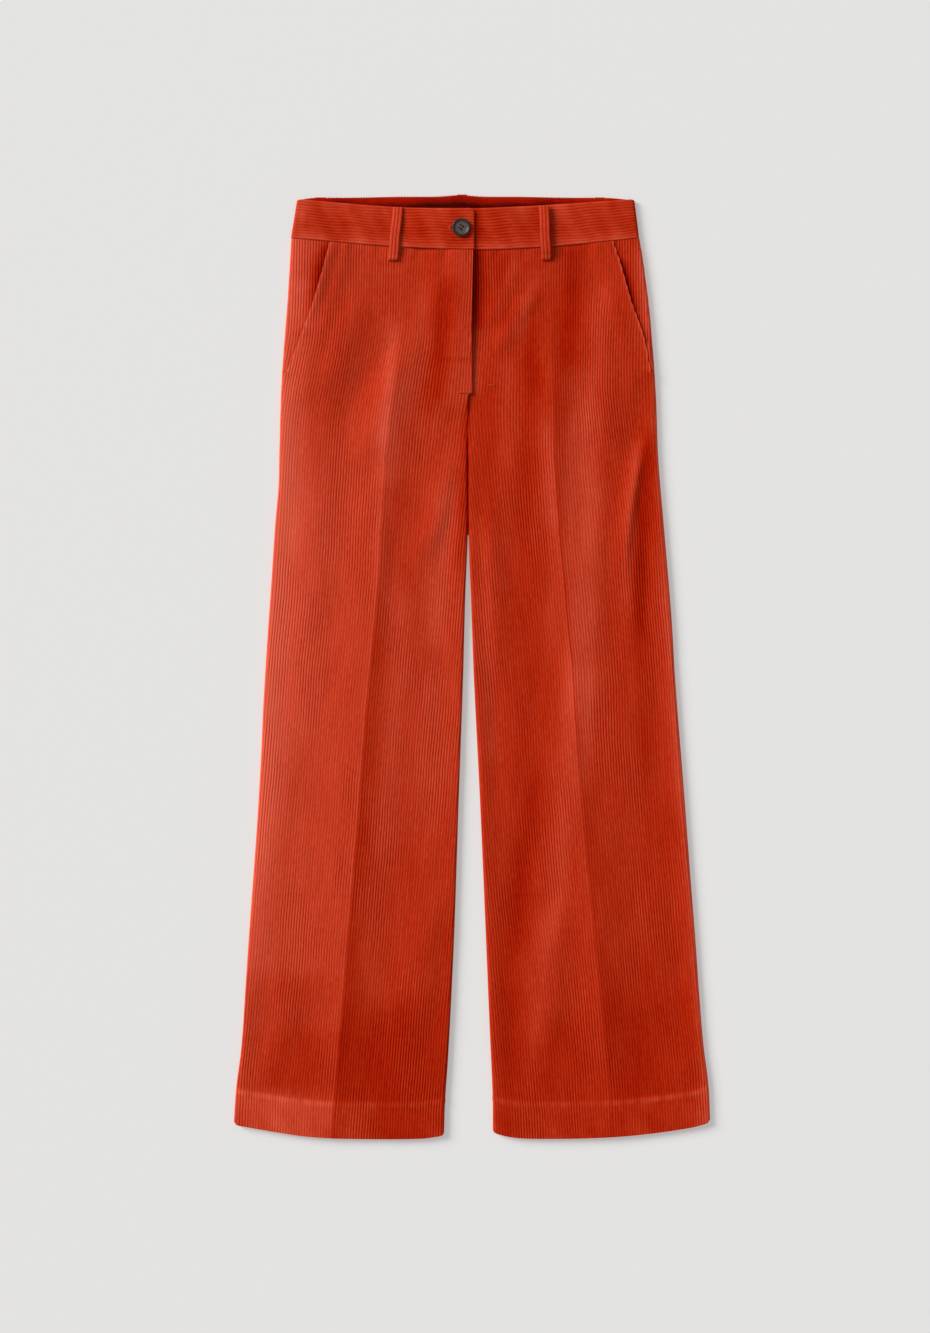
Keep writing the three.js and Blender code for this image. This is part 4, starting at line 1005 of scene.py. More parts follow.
def flyFacing(material):
    level = legLevels(bottom=fly["bottom"] + fly["facingUp"], step=fly["facingStep"])
    lift = frontLift("left")
    ends = legEnds(legs["left"], level)
    edge = readCurve(fly["lapEdge"], "y", "x", level) - ends["crease"]
    width = readCurve(fly["facingWidth"], "y", "width", level)
    steps = np.array(fly["facingColumns"])[None, :]
    places = edge - np.minimum(steps, width + steps * 0.02)
    fromEnd, toEnd = places[:, :1], places[:, -1:]
    upper = frontPoints("left", places, level, -cloth["wall"] - fly["layerGap"], lift)
    lower = frontPoints("left", places, level, -2 * cloth["wall"] - fly["layerGap"], lift)
    outer = insideGrid(places, level, upper, fromEnd, toEnd)
    outer["pile"] = np.full(places.shape, 0.5)
    inner = insideGrid(places, level, lower, fromEnd, toEnd)
    return clothWall("cloth_fly_facing", outer, inner, True, material)


# Where the flat part of the waistband ends on both sides: its upper corners are rounded
def bandSides(share):
    corner = band["topCorner"] * roundOff(np.clip((share - band["cornerFrom"]) / band["cornerOver"], 0, 1))
    inset = band["edgeRadius"] + corner
    left = band["leftBottom"] + (band["leftTop"] - band["leftBottom"]) * share + inset
    right = band["rightBottom"] + (band["rightTop"] - band["rightBottom"]) * share - inset
    return left, right


# Places where the band ends on both sides, a quarter turn past its flat part
def bandEnds(share):
    quarter = band["edgeRadius"] * math.pi / 2 - cloth["seamGap"] / 2
    left, right = bandSides(share)
    return left - quarter, right + quarter, quarter


# The top edge of the back band rises over its middle loop and waves with its wales
def backTop(x, share):
    fromLoop = x - band["humpX"]
    top = readCurve(band["backTop"], "x", "y", x) + band["hump"] * bell(fromLoop, band["humpWidth"])
    top = top - band["low"] * smooth((np.abs(fromLoop) - band["lowFrom"]) / band["lowFrom"])
    scallops = np.sin(2 * math.pi * x / cloth["walePitch"]) * (1 + 0.6 * np.sin(x / 7.0))
    return top + band["scallop"] * scallops * smooth((share - 0.9) / 0.1)


# Points of the waistband: across is x on its flat part, and runs on round the fold at its sides
def bandPoints(across, share, out, isFront, over):
    left, right = bandSides(share)
    radius = band["edgeRadius"]
    direction = np.where(across < left, -1, 1)
    turn = np.maximum(np.maximum(left - across, across - right), 0) / radius
    flat = np.clip(across, left, right)
    x = flat + direction * radius * np.sin(turn)
    seamY = readCurve(waistSeam, "x", "y", x) if isFront else waist["sideSeamY"]
    topY = readCurve(band["frontTop"], "x", "y", x) if isFront else backTop(x, share)
    inside = smooth(share / band["softEnds"]) * smooth((1 - share) / band["softEnds"])
    waves = 0.45 * np.sin(x / 7.3 + 3 * share) + 0.35 * np.sin(x / 16.0 + 5 * share + 1.0)
    y = seamY + cloth["bandGap"] + (topY - seamY - cloth["bandGap"]) * share + waves * inside
    upright = np.cos(np.minimum(turn, math.pi / 2))
    if isFront:
        height = 2 * radius + (band["overHeight"] - 2 * radius) * overLapped(x) * over
        z = height + bandRipple(x, share) * upright - radius * (1 - np.cos(turn)) + np.cos(turn) * out
    else:
        z = loopLift(x, waist["seam"]) * upright + radius * (1 - np.cos(turn)) - np.cos(turn) * out
    return np.stack([x + direction * np.sin(turn) * out, y + 0 * x, z + 0 * x], axis=-1)


# Where the left end of the band rises to lie over the right one
def overLapped(x):
    return smooth((x - band["overStart"]) / (band["overFull"] - band["overStart"]))


# Slight rises and dips of the band between its loops
def bandRipple(x, share):
    slow = 0.30 * np.sin(x / 17.0 + 0.6) + 0.22 * np.sin(x / 9.1 + 2.0 + 1.4 * share)
    return slow * smooth((np.abs(x - button["x"]) - 20) / 25) * 0.8 + 0.12 * np.sin(x / 31.0)


# Tone of the front band: painted light along its seam and top edge and a painted highlight at its left
# corner, painted shade behind the button and beside the lap
def bandToneWithPaintedLight(sideName, share, x):
    look = bandToneAndPaintedLight[sideName]
    tone = look["tone"] + 0 * x
    for change, at, width in bandToneAndPaintedLight["byShare"]:
        tone = tone + change * bell(share - at, width)
    tone = tone + 0.14 * np.sin(x / 11.0 + 2 * share) * np.sin(x / 27.0 + 1.0)
    tone = tone + 0.12 * np.sin(x / 4.6 + 2.5 * share) * np.sin(x / 15.0 + 4 * share)
    change, at, width = bandToneAndPaintedLight["shadeUnderButton"]
    tone = tone + change * bell(x - at, width)
    if sideName == "left":
        change, at, width = bandToneAndPaintedLight["corner"]
        shareAt, shareWidth = bandToneAndPaintedLight["cornerShare"]
        tone = tone + change * bell(x - at, width) * bell(share - shareAt, shareWidth)
    for change, at, width in look["byX"]:
        tone = tone + change * bell(x - at, width)
    return tone


# How far an edge that is rolled, not sharp, falls away
def rolledEdge(fromEdge):
    return roundOff(1 - np.clip(fromEdge / band["rim"], 0, 1))


def frontBand(sideName, material):
    isLeft = sideName == "left"
    rows = band["wales"] * cloth["columnsPerWale"]
    share = (1 - np.arange(rows + 1) / rows)[:, None]
    left, right, _ = bandEnds(share)
    if isLeft:
        nearTop = np.maximum(0, (share - band["lapCornerFrom"]) / band["lapCornerOver"])
        nearBottom = np.maximum(0, (band["lapFootFrom"] - share) / band["lapFootFrom"])
        corner = band["lapCorner"] * roundOff(nearTop) + band["lapFoot"] * roundOff(nearBottom)
        fromEnd, toEnd = left, band["lapEdge"] - corner
    else:
        fromEnd, toEnd = band["underEnd"] + 0 * right, right
    near = band["nearEnd"]
    places = plainPlaces(fromEnd, toEnd, near, near, band["frontColumns"])
    pile = waleProfile(math.pi * np.arange(rows + 1) / cloth["columnsPerWale"])[:, None] + 0 * places
    rim = rolledEdge(np.minimum(share, 1 - share) * band["height"])
    if isLeft:
        rim = np.maximum(rim, rolledEdge(toEnd - places))
    showing = 1 if isLeft else smooth((places - 1) / 2)
    points = bandPoints(places, share, cloth["bandWaleHeight"] * pile * showing - rim, True, isLeft)
    along = weaveAt(share * band["height"] + band["weaveStart"], places)
    outer = makeGrid(places, band["rowOrder"] * share, points, fromEnd, toEnd, pile=pile, along=along,
                     nap=bandToneWithPaintedLight(sideName, share, places))
    pickRows = [int(round((1 - insideShare) * rows)) for insideShare in band["insideRows"]]
    innerShare, innerFrom, innerTo = share[pickRows], fromEnd[pickRows], toEnd[pickRows]
    innerPlaces = plainPlaces(innerFrom, innerTo, near, near, band["insideColumns"])
    innerPoints = bandPoints(innerPlaces, innerShare, -cloth["bandWall"], True, isLeft)
    innerAlong = weaveAt(innerShare * band["height"] + band["weaveStart"], innerPlaces)
    inner = makeGrid(innerPlaces, band["rowOrder"] * innerShare, innerPoints, innerFrom, innerTo,
                     along=innerAlong, nap=bandToneAndPaintedLight["inside"])
    return clothWall("cloth_waistband_front_" + sideName, outer, inner, True, material)


def backBand(material):
    rows = band["wales"] * 2
    share = (1 - np.arange(rows + 1) / rows)[:, None]
    share = np.concatenate([share[:1], [[0.985]], share[1:]])
    left, right, quarter = bandEnds(share)
    places = plainPlaces(left, right, band["nearEnd"], band["nearEnd"], band["backColumns"])
    pile = np.abs(np.sin(share * rows * math.pi / 2)) + 0 * places
    along = weaveAt(share * band["height"] + band["weaveStart"], places)
    turn = np.maximum(np.maximum(left + quarter - places, places - right + quarter), 0) / band["edgeRadius"]
    pressed = cloth["bandWaleHeight"] * 0.8 * (1 - pile) * (1 - smooth(turn))
    points = bandPoints(places, share, -pressed, False, False)
    order = band["rowOrder"] * share
    outer = makeGrid(places, order, points, left, right, pile=pile, along=along, nap=bandToneAndPaintedLight["back"])
    innerPoints = bandPoints(places, share, -cloth["bandWall"], False, False)
    # painted shade: the inside lies in the shade of the front, painted lighter towards the top edge, with a
    # painted highlight on its rim
    shade = -0.66 + 0.72 * smooth((share - 0.70) / 0.24) + 0.30 * smooth((share - 0.95) / 0.04)
    shade = shade + 0.10 * np.sin(places / 19.0) + 0.06 * np.sin(2 * math.pi * places / cloth["walePitch"])
    inner = makeGrid(places, order, innerPoints, left, right, along=along, nap=shade)
    return clothWall("cloth_waistband_back", outer, inner, False, material)


loopSize = {
    "width": 11.2, "backWidth": 10.8, "wall": 1.8, "ridge": 0.55, "ridgeRoundness": 0.7, "arch": 0.9,
    "clearance": 0.35, "bend": 0.25, "lowFrom": 0.78, "lapRise": 3.0, "rim": 0.9,
    "bulge": 0.7, "bulgeAt": 0.955, "bulgeWidth": 0.03,
    "backRows": 30, "backColumns": 25, "backTop": 1.4, "backRidge": 0.45,
}
# Tones of the loops, with painted light: the left loop lighter than the right, each painted lighter on its
# left side and darker on its right
loopToneAndPaintedLight = {"left": 0.72, "right": 0.60, "lean": 0.12, "back": 0.5}
frontLoops = {
    "belt_loop_front_left": {"topX": -82.9, "bottomX": -88.6, "top": 514.3, "bottom": 454.5},
    "belt_loop_front_right": {"topX": 80.4, "bottomX": 83.2, "top": 515.6, "bottom": 455.0},
}


# Three rounded wales across a loop, as place runs from -1 to 1
def loopRidges(place):
    return np.abs(np.cos(1.5 * math.pi * place)) ** loopSize["ridgeRoundness"]


def frontLoop(name, material):
    loop = frontLoops[name]
    bandFace = 2 * band["edgeRadius"] + cloth["bandWaleHeight"] + loopSize["clearance"]
    legFace = lie["frontHeight"] + lie["waistRise"] + cloth["waleHeight"] + loopSize["clearance"]
    steps = [np.linspace(0, 0.05, 6), np.linspace(0.08, 0.92, 40), np.linspace(0.94, 1, 9)]
    down = np.concatenate(steps)[:, None]
    place = np.linspace(-1, 1, 31)[None, :] + 0 * down

    def pointsAt(out):
        x = loop["topX"] + (loop["bottomX"] - loop["topX"]) * down + place * loopSize["width"] / 2
        x = x + loopSize["bend"] * np.sin(down * 9.0)
        y = loop["top"] + (loop["bottom"] - loop["top"]) * down + 0 * place
        low = smooth((down - loopSize["lowFrom"]) / (1 - loopSize["lowFrom"]))
        arch = loopSize["arch"] * np.sin(math.pi * down) ** 2
        z = bandFace + (legFace - bandFace) * low + arch + overLapped(x) * loopSize["lapRise"] * (1 - low)
        return np.stack([x, y, z + bandRipple(x, 0.5) * (1 - low) + out], axis=-1)

    ridges = loopRidges(place)
    sideRim = roundOff(np.clip((np.abs(place) - 0.86) / 0.14, 0, 1))
    endRim = roundOff(np.clip((np.abs(down - 0.5) - 0.475) / 0.025, 0, 1))
    bulge = loopSize["bulge"] * bell(down - loopSize["bulgeAt"], loopSize["bulgeWidth"])
    top = loopSize["wall"] + loopSize["ridge"] * ridges + bulge
    top = top - loopSize["rim"] * np.maximum(sideRim, endRim)
    order = 100 - 100 * down
    along = weaveAt(place * 4 + 700, 60 * down)
    # painted light across the loop: lighter on its left side, darker on its right
    tone = loopToneAndPaintedLight["left" if loop["topX"] < 0 else "right"] - loopToneAndPaintedLight["lean"] * place
    ends = place[:, :1], place[:, -1:]
    outer = makeGrid(place, order, pointsAt(top), *ends, pile=ridges, along=along, nap=tone)
    inner = makeGrid(place, order, pointsAt(0.0), *ends, along=along, nap=nap["inside"])
    return clothWall("cloth_" + name, outer, inner, True, material)


def backLoop(name, material):
    loop = backLoops[name]
    y = np.linspace(loop["top"], loop["bottom"], loopSize["backRows"])[:, None]
    place = np.linspace(-1, 1, loopSize["backColumns"])[None, :] + 0 * y
    ridges = loopRidges(place)
    along = weaveAt(place * 4 + 800, y)
    ends = place[:, :1], place[:, -1:]

    def face(z, **values):
        x = loop["x"] + place * loopSize["backWidth"] / 2
        points = np.stack([x, y + 0 * place, z + 0 * place], axis=-1)
        return makeGrid(place, y, points, *ends, along=along, nap=loopToneAndPaintedLight["back"], **values)

    below = face(loopSize["backRidge"] * (1 - ridges), pile=ridges)
    return clothWall("cloth_" + name, below, face(loopSize["backTop"]), False, material)


# Adds a node and wires what it is given: sockets are linked, other values are set
def addNode(tree, kind, inputs=None, **settings):
    node = tree.nodes.new(kind)
    for name, value in settings.items():
        setattr(node, name, value)
    for name, value in (inputs or {}).items():
        socket = node.inputs[name]
        if isinstance(value, bpy.types.NodeSocket):
            tree.links.new(value, socket)
        else:
            socket.default_value = value
    return node


# Colours of the cloth's tone, painted light and shade included, from its deepest shade to its lightest, each
# a tone and a colour
pileAndPaintedLightColours = [
    (-0.50, (0.055, 0.0012, 0.0002)),
    (0.00, (0.310, 0.0050, 0.0002)),
    (0.25, (0.382, 0.0122, 0.0005)),
    (0.50, (0.458, 0.0252, 0.0052)),
    (0.75, (0.540, 0.0450, 0.0165)),
    (1.00, (0.633, 0.0680, 0.0310)),
    (1.30, (0.730, 0.1000, 0.0520)),
]
# Strengths of the marks on the pile: lighter wale tops with grooves painted darker as shade, fibres, change
# from wale to wale, dashes and blotches
pileLook = {
    "waleToneAndGrooveShade": 0.46, "grooveShow": 1.25, "fibreTone": 0.34,
    "blotchTone": 0.26, "nextTone": 0.30, "dashTone": 0.50,
}


# Corduroy: the tone with its painted light and shade, lighter tops and grooves painted darker as shade, soft
# blotches along the wales, short rough pile
def corduroyMaterial(name):
    material = bpy.data.materials.new(name)
    material.use_nodes = True
    tree = material.node_tree
    shader = tree.nodes["Principled BSDF"]
    pile = addNode(tree, "ShaderNodeAttribute", attribute_name="pile").outputs["Fac"]
    tone = addNode(tree, "ShaderNodeAttribute", attribute_name="nap").outputs["Fac"]
    weave = addNode(tree, "ShaderNodeAttribute", attribute_name="weave").outputs["Vector"]

    def noise(stretch, detail):
        scaled = addNode(tree, "ShaderNodeVectorMath", {0: weave, 1: stretch}, operation="MULTIPLY")
        wired = {"Vector": scaled.outputs[0], "Scale": 1.0, "Detail": detail}
        return addNode(tree, "ShaderNodeTexNoise", wired).outputs["Fac"]

    def addScaled(value, amount, total):
        centred = addNode(tree, "ShaderNodeMath", {0: value, 1: 0.5}, operation="SUBTRACT")
        wired = {0: centred.outputs[0], 1: amount, 2: total}
        return addNode(tree, "ShaderNodeMath", wired, operation="MULTIPLY_ADD").outputs[0]

    fibres = noise((1500.0, 700.0, 1.0), 3.0)
    # the shade painted in the grooves is stronger where the painted tone is darker
    showing = addNode(tree, "ShaderNodeMath", {0: pileLook["grooveShow"], 1: tone}, operation="SUBTRACT")
    wired = {0: showing.outputs[0], 1: pileLook["waleToneAndGrooveShade"]}
    amount = addNode(tree, "ShaderNodeMath", wired, operation="MULTIPLY")
    total = addScaled(pile, amount.outputs[0], tone)
    total = addScaled(fibres, pileLook["fibreTone"], total)
    total = addScaled(noise((330.0, 24.0, 1.0), 2.0), pileLook["nextTone"], total)
    total = addScaled(noise((560.0, 130.0, 1.0), 2.0), pileLook["dashTone"], total)
    total = addScaled(noise((42.0, 14.0, 1.0), 3.0), pileLook["blotchTone"], total)
    lowest, highest = pileAndPaintedLightColours[0][0], pileAndPaintedLightColours[-1][0]
    share = addNode(tree, "ShaderNodeMapRange", {"Value": total, "From Min": lowest, "From Max": highest})
    ramp = addNode(tree, "ShaderNodeValToRGB", {"Fac": share.outputs["Result"]})
    stops = ramp.color_ramp.elements
    stops.remove(stops[1])
    stops[0].position, stops[0].color = 0.0, (*pileAndPaintedLightColours[0][1], 1)
    for level, colour in pileAndPaintedLightColours[1:]:
        stops.new((level - lowest) / (highest - lowest)).color = (*colour, 1)
    tree.links.new(ramp.outputs["Color"], shader.inputs["Base Color"])
    bump = addNode(tree, "ShaderNodeBump", {"Strength": 0.4, "Distance": 0.0003, "Height": fibres})
    tree.links.new(bump.outputs[0], shader.inputs["Normal"])
    shader.inputs["Roughness"].default_value = 0.92
    shader.inputs["Specular IOR Level"].default_value = 0.03
    shader.inputs["Sheen Weight"].default_value = 0.035
    shader.inputs["Sheen Roughness"].default_value = 0.5
    shader.inputs["Sheen Tint"].default_value = (1.0, 0.30, 0.18, 1)
    return material


def plainMaterial(name, colour, roughness, shine=0.5):
    material = bpy.data.materials.new(name)
    material.use_nodes = True
    shader = material.node_tree.nodes["Principled BSDF"]
    shader.inputs["Base Color"].default_value = (*colour, 1)
    shader.inputs["Roughness"].default_value = roughness
    shader.inputs["Specular IOR Level"].default_value = shine
    return material


corduroy = corduroyMaterial("corduroy")
thread = plainMaterial("thread", (0.52, 0.050, 0.022), 0.85, shine=0.08)
# painted shade: the centre seam's thread is as dark as the shade between the legs
seamShadeThread = plainMaterial("seam_thread_painted_shade", (0.050, 0.002, 0.0006), 0.9, shine=0.0)
# dark thread for the button, also used as painted shade in the buttonhole's slit
darkThreadAndShade = plainMaterial("dark_thread_and_painted_shade", (0.010, 0.006, 0.005), 0.8)
print("materials made")


# Horn: dark round its rim, lighter and streaked in the dish
def hornMaterial():
    material = bpy.data.materials.new("horn")
    material.use_nodes = True
    tree = material.node_tree
    shader = tree.nodes["Principled BSDF"]
    place = addNode(tree, "ShaderNodeTexCoord").outputs["Object"]
    centre = (button["x"] * mm, button["y"] * mm, 0)
    moved = addNode(tree, "ShaderNodeVectorMath", {0: place, 1: centre}, operation="SUBTRACT")
    flat = addNode(tree, "ShaderNodeVectorMath", {0: moved.outputs[0], 1: (1, 1, 0)}, operation="MULTIPLY")
    away = addNode(tree, "ShaderNodeVectorMath", {0: flat.outputs[0]}, operation="LENGTH")
    radius = button["radius"] * mm
    inward = addNode(tree, "ShaderNodeMapRange", {
        "Value": away.outputs["Value"], "From Min": radius * 0.80, "From Max": radius * 0.60})
    streaks = addNode(tree, "ShaderNodeTexNoise", {"Vector": place, "Scale": 420.0, "Detail": 4.0})
    both = addNode(tree, "ShaderNodeMath", {0: inward.outputs["Result"], 1: streaks.outputs["Fac"]},
                   operation="MULTIPLY")
    mix = addNode(tree, "ShaderNodeMix", {"Factor": both.outputs[0], "A": (0.020, 0.017, 0.016, 1),
                                          "B": (0.150, 0.104, 0.090, 1)}, data_type="RGBA")
    tree.links.new(mix.outputs["Result"], shader.inputs["Base Color"])
    shader.inputs["Roughness"].default_value = 0.42
    shader.inputs["Specular IOR Level"].default_value = 0.32
    return material


def applyModifiers(piece):
    bpy.context.view_layer.objects.active = piece
    for modifier in list(piece.modifiers):
        bpy.ops.object.modifier_apply(modifier=modifier.name)


def setMaterial(piece, material):
    piece.data.materials.clear()
    piece.data.materials.append(material)


def finishHard(piece, material, angle):
    selectOnly(piece)
    bpy.ops.object.transform_apply(location=True, rotation=True, scale=True)
    bpy.ops.object.mode_set(mode="EDIT")
    bpy.ops.mesh.select_all(action="SELECT")
    bpy.ops.mesh.remove_doubles(threshold=0.000001)
    bpy.ops.mesh.normals_make_consistent(inside=False)
    bpy.ops.object.mode_set(mode="OBJECT")
    bpy.ops.object.shade_smooth_by_angle(angle=math.radians(angle))
    setMaterial(piece, material)
    return piece


# Place of one of the button's four holes, from the button's middle
def holePlace(hole):
    angle = hole * math.pi / 2 + math.radians(button["holeTurn"])
    return button["holeOffset"] * math.cos(angle), button["holeOffset"] * math.sin(angle)


def drillHole(disc, hole, middle):
    x, y = holePlace(hole)
    place = (middle[0] + x * mm, middle[1] + y * mm, middle[2])
    bpy.ops.mesh.primitive_cylinder_add(vertices=button["holeSides"], radius=button["holeRadius"] * mm,
                                        depth=0.02, location=place)
    drill = bpy.context.object
    cut = disc.modifiers.new("hole", "BOOLEAN")
    cut.operation = "DIFFERENCE"
    cut.solver = "EXACT"
    cut.object = drill
    applyModifiers(disc)
    deselectAll()
    drill.select_set(True)
    bpy.ops.object.delete()


# A disc with a raised rim and a dished middle, drilled four times
def hornButton():
    deselectAll()
    depth = button["thickness"] * mm
    middle = (button["x"] * mm, button["y"] * mm, button["bottom"] * mm + depth / 2)
    bpy.ops.mesh.primitive_cylinder_add(vertices=button["sides"], radius=button["radius"] * mm, depth=depth,
                                        location=middle)
    disc = bpy.context.object
    disc.name = "horn_button"
    bpy.ops.object.mode_set(mode="EDIT")
    bpy.context.tool_settings.mesh_select_mode = (False, False, True)
    bpy.ops.mesh.select_all(action="DESELECT")
    bpy.ops.object.mode_set(mode="OBJECT")
    for face in disc.data.polygons:
        face.select = face.normal.z > 0.9
    bpy.ops.object.mode_set(mode="EDIT")
    for inset, sink in button["rings"]:
        bpy.ops.mesh.inset(thickness=inset * mm)
        bpy.ops.transform.translate(value=(0, 0, sink * mm))
    bpy.ops.object.mode_set(mode="OBJECT")
    rounding = disc.modifiers.new("rounding", "BEVEL")
    rounding.width = button["rounding"] * mm
    rounding.segments = 3
    rounding.limit_method = "ANGLE"
    rounding.angle_limit = math.radians(25)
    applyModifiers(disc)
    for hole in range(4):
        drillHole(disc, hole, middle)
    return finishHard(disc, hornMaterial(), button["smoothAngle"])


# Thin threads along lines of points, as one mesh
def threads(name, lines, radius, material):
    curve = bpy.data.curves.new(name, "CURVE")
    curve.dimensions = "3D"
    curve.bevel_depth = radius * mm
    curve.bevel_resolution = 1
    curve.use_fill_caps = True
    for line in lines:
        spline = curve.splines.new("POLY")
        spline.points.add(len(line) - 1)
        for point, place in zip(spline.points, line):
            point.co = (place[0] * mm, place[1] * mm, place[2] * mm, 1)
    selectOnly(addPiece(name, curve))
    bpy.ops.object.convert(target="MESH")
    piece = bpy.context.object
    bpy.ops.object.shade_smooth()
    setMaterial(piece, material)
    return piece


# One strand of thread from hole to hole, sunk at its ends
def strandLine(start, end, strand):
    top = button["bottom"] + button["thickness"] - button["threadDown"]
    length = math.hypot(end[0] - start[0], end[1] - start[1])
    sideX, sideY = (start[1] - end[1]) / length, (end[0] - start[0]) / length
    line = []
    for share in np.linspace(0, 1, 9):
        x = start[0] + (end[0] - start[0]) * share + sideX * strand
        y = start[1] + (end[1] - start[1]) * share + sideY * strand
        sunk = max(0, abs(share - 0.5) * 2 - 0.72) / 0.28
        z = top - button["threadSink"] * sunk + button["threadArch"] * math.sin(math.pi * share)
        line.append((button["x"] + x, button["y"] + y, z))
    return line


# Two dark bars of thread, each sunk into a pair of holes
def buttonThread():
    lines = []
    for pair in (0, 2):
        for strand in button["strands"]:
            lines.append(strandLine(holePlace(pair), holePlace(pair + 1), strand))
    return threads("button_thread", lines, button["threadRadius"], darkThreadAndShade)


# Height of the left or right front's face at places given by x and y
def onFront(legName, x, y, out):
    leg = legs[legName]
    x, y = np.atleast_1d(np.asarray(x, float)), np.atleast_1d(np.asarray(y, float))
    level = y.copy()
    lift = frontLift(legName)
    for _ in range(4):
        crease = readCurve(leg["outline"], "y", "crease", level)
        points = frontPoints(legName, (x - crease)[:, None], level[:, None], out, lift)
        level = level + (y - points[:, 0, 1])
    return points[:, 0]


# A row of short stitches along a path on a front
def stitchRow(name, legName, path, material):
    steps = np.hypot(*np.diff(path, axis=0).T)
    total = np.concatenate([[0], np.cumsum(steps)])
    lines = []
    at = 0.0
    while at + stitchLook["length"] < total[-1]:
        spots = np.linspace(at, at + stitchLook["length"], 5)
        x = np.interp(spots, total, path[:, 0])
        y = np.interp(spots, total, path[:, 1])
        points = onFront(legName, x, y, cloth["waleHeight"] * stitchLook["out"])
        points[:, 2] += np.array(stitchLook["sink"])
        lines.append(points.tolist())
        at += stitchLook["spacing"]
    return threads(name, lines, stitchLook["radius"], material)


# Dense cross stitches that hold the end of the fly
def barTack(name, legName, start, end, width, material):
    lines = []
    for k in range(tackLook["stitches"]):
        share = k / (tackLook["stitches"] - 1)
        x = start[0] + (end[0] - start[0]) * share
        y = start[1] + (end[1] - start[1]) * share
        slant = tackLook["slant"] if k % 2 else -tackLook["slant"]
        spots = np.linspace(-1, 1, 5)
        up = y + spots * width / 2
        points = onFront(legName, x + slant * spots, up, cloth["waleHeight"] * tackLook["out"])
        points[:, 2] += np.array(tackLook["sink"])
        lines.append(points.tolist())
    return threads(name, lines, tackLook["radius"], material)


# Height of the waistband's face on its lapped end
def lapFace():
    return band["overHeight"] + cloth["bandWaleHeight"]


# Stitches round the end of the buttonhole that shows beside the button
def buttonholeStitches(material):
    base = lapFace()
    lines = []
    for k in range(buttonhole["stitches"]):
        angle = math.pi * (0.35 + 1.30 * k / (buttonhole["stitches"] - 1))

        def spot(away, z):
            return buttonhole["x"] + math.cos(angle) * away, buttonhole["y"] + math.sin(angle) * away, z

        inner, outer = buttonhole["inner"], buttonhole["outer"]
        lines.append([spot(inner, base - 0.4), spot(inner, base), spot(outer, base), spot(outer, base - 0.5)])
    return threads("buttonhole_stitches", lines, buttonhole["radius"], material)


# Painted shade in the slit of the buttonhole, up to the button's stem: a dark thread
def buttonholeSlitShade():
    z = lapFace() - 0.1
    spots = [(buttonhole["x"] - 0.5, buttonhole["y"], z), (button["x"], button["y"], z)]
    return threads("buttonhole_slit_shade", [spots], buttonhole["slitRadius"], darkThreadAndShade)


# The seam below the fly, drawn tight by its thread down to the fork; the thread is dark as painted shade in
# the gap between the legs
def centreSeamShadeThread(material):
    look = seamThreadLook
    y = np.linspace(look["from"], look["to"], look["points"])
    x = readCurve(look["path"], "y", "x", y)
    # above the fork it lies between the flat fronts and backs
    height = look["height"] - look["lower"] * smooth((y - look["lowerFrom"]) / look["lowerOver"])
    height = height + 0.07 * np.sin(y / 1.7)
    return threads("centre_seam_shade_thread", [np.column_stack([x, y, height]).tolist()], look["radius"], material)


# The curved row of stitches that holds the fly's facing
def flyStitchPath():
    path = stitchLook["path"]
    y = np.linspace(path["y"][0], path["y"][-1], stitchLook["points"])
    return np.column_stack([readCurve(path, "y", "x", y), y])


# Hides the part that each piece of cloth replaces, and hangs the piece on the root
def declareCloth(piece, node):
    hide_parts(node)
    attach(piece, "root")
    return piece


backs = {name: backPanel(name, corduroy) for name in ("left", "right")}
fronts = {name: frontPanel(name, corduroy) for name in ("left", "right")}
facings = {name: pocketFacing(name, corduroy) for name in ("left", "right")}
print("legs made")
flyPiece = flyFacing(corduroy)
bands = {name: frontBand(name, corduroy) for name in ("left", "right")}
bandBack = backBand(corduroy)
loops = {name: frontLoop(name, corduroy) for name in frontLoops}
loopsBehind = {name: backLoop(name, corduroy) for name in backLoops}
print("waistband made")

for name in ("left", "right"):
    declareCloth(backs[name], "back_leg_" + name)
    declareCloth(fronts[name], "front_leg_" + name)
    declareCloth(facings[name], "pocket_facing_" + name)
    declareCloth(bands[name], "waistband_front_" + name)
declareCloth(bandBack, "waistband_back")
declareCloth(flyPiece, "fly_facing")
for name, piece in loops.items():
    declareCloth(piece, name)
for name, piece in loopsBehind.items():
    declareCloth(piece, name)

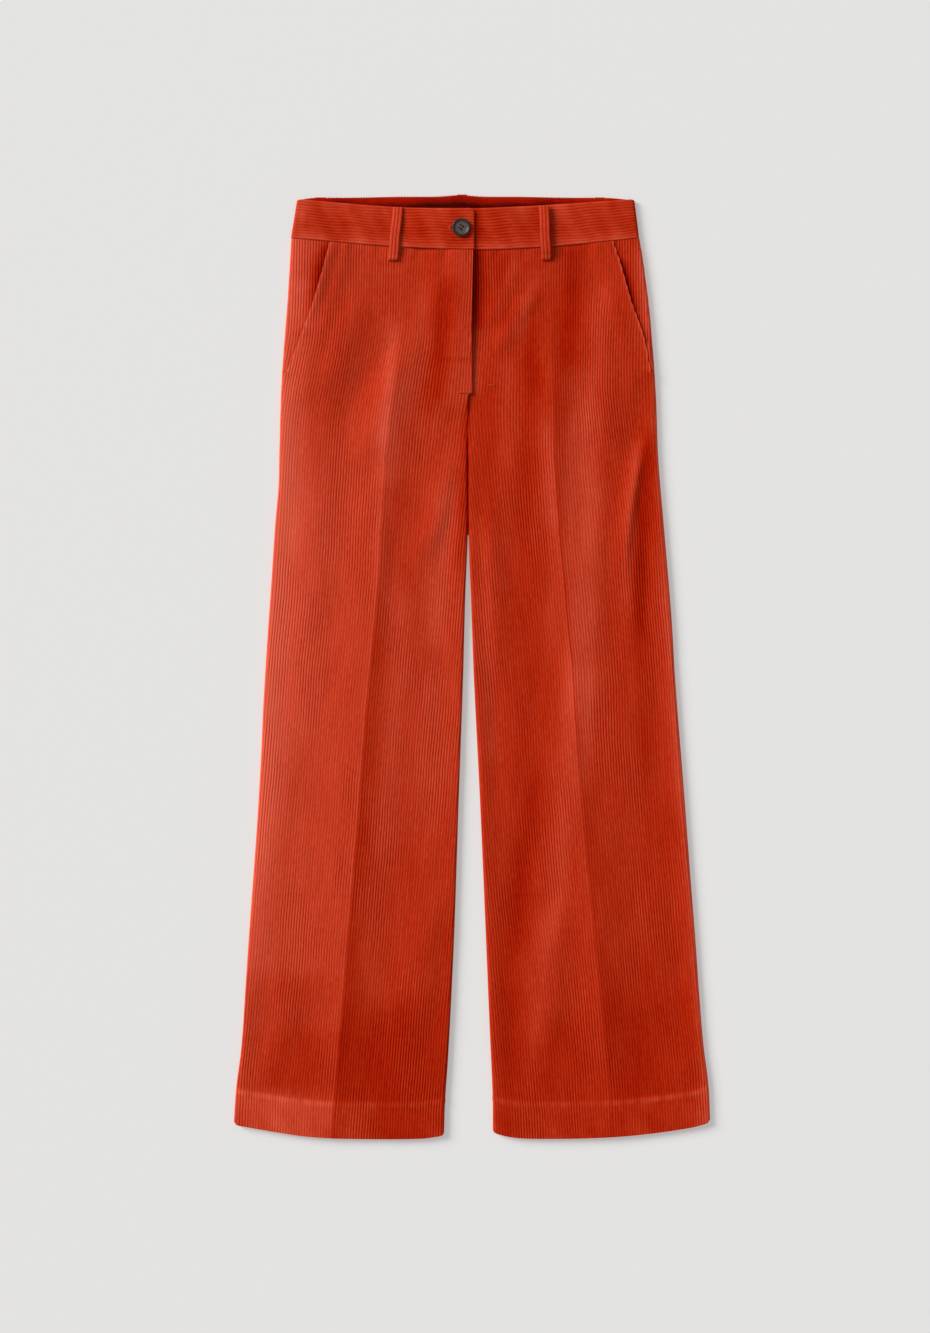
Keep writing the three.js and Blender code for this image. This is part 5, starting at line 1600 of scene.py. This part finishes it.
buttonPiece = hornButton()
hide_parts("button")
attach(buttonPiece, "root")
threadPieces = [
    buttonThread(),
    buttonholeStitches(thread),
    buttonholeSlitShade(),
    centreSeamShadeThread(seamShadeThread),
    barTack("fly_bar_tack", "left", (-15.0, 306.5), (-0.5, 307.0), 2.2, thread),
    barTack("fly_tack", "right", (18.5, 315.0), (25.0, 314.9), 1.1, thread),
    stitchRow("fly_stitches", "left", flyStitchPath(), thread),
]
for piece in threadPieces:
    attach(piece, "root")
print("button and stitches made")

deselectAll()
bpy.ops.mesh.primitive_plane_add(size=28.0, location=(0, 0, -0.0003))
floor = bpy.context.object
floor.name = "floor"
# The paper is given a weak painted glow, which keeps the shadows on it pale
paper = plainMaterial("paper", (0.458, 0.455, 0.449), 0.9)
paperShader = paper.node_tree.nodes["Principled BSDF"]
paperShader.inputs["Emission Color"].default_value = (1.0, 0.994, 0.981, 1)
paperShader.inputs["Emission Strength"].default_value = 0.322
floor.data.materials.append(paper)

studio = {
    "sunEnergy": 3.95, "sunAngle": 30.0, "sunElevation": 29.0, "sunFrom": 151.0, "fill": 0.36,
    "cameraX": -0.00784, "cameraHeight": 4.0, "viewHeight": 1.4952,
}


def setSun():
    light = bpy.data.lights.new("window_light", "SUN")
    light.energy = studio["sunEnergy"]
    light.angle = math.radians(studio["sunAngle"])
    light.color = (1.0, 0.995, 0.985)
    lamp = addPiece("window_light", light)
    tilt = math.radians(90 - studio["sunElevation"])
    lamp.rotation_euler = (tilt, 0, math.radians(studio["sunFrom"] + 90))
    return lamp


def setFill():
    world = bpy.data.worlds.new("fill")
    world.use_nodes = True
    background = world.node_tree.nodes["Background"]
    background.inputs["Color"].default_value = (0.985, 0.992, 1.0, 1)
    background.inputs["Strength"].default_value = studio["fill"]
    bpy.context.scene.world = world


def setCamera():
    data = bpy.data.cameras.new("camera")
    data.sensor_fit = "VERTICAL"
    data.sensor_height = 36.0
    data.lens = 36.0 * studio["cameraHeight"] / studio["viewHeight"]
    data.clip_end = 30.0
    camera = addPiece("camera", data)
    camera.location = (studio["cameraX"], 0, studio["cameraHeight"])
    bpy.context.scene.camera = camera


lamp = setSun()
setFill()
setCamera()
bpy.context.scene.view_settings.view_transform = "Standard"
bpy.context.scene.view_settings.look = "None"
print("studio set")
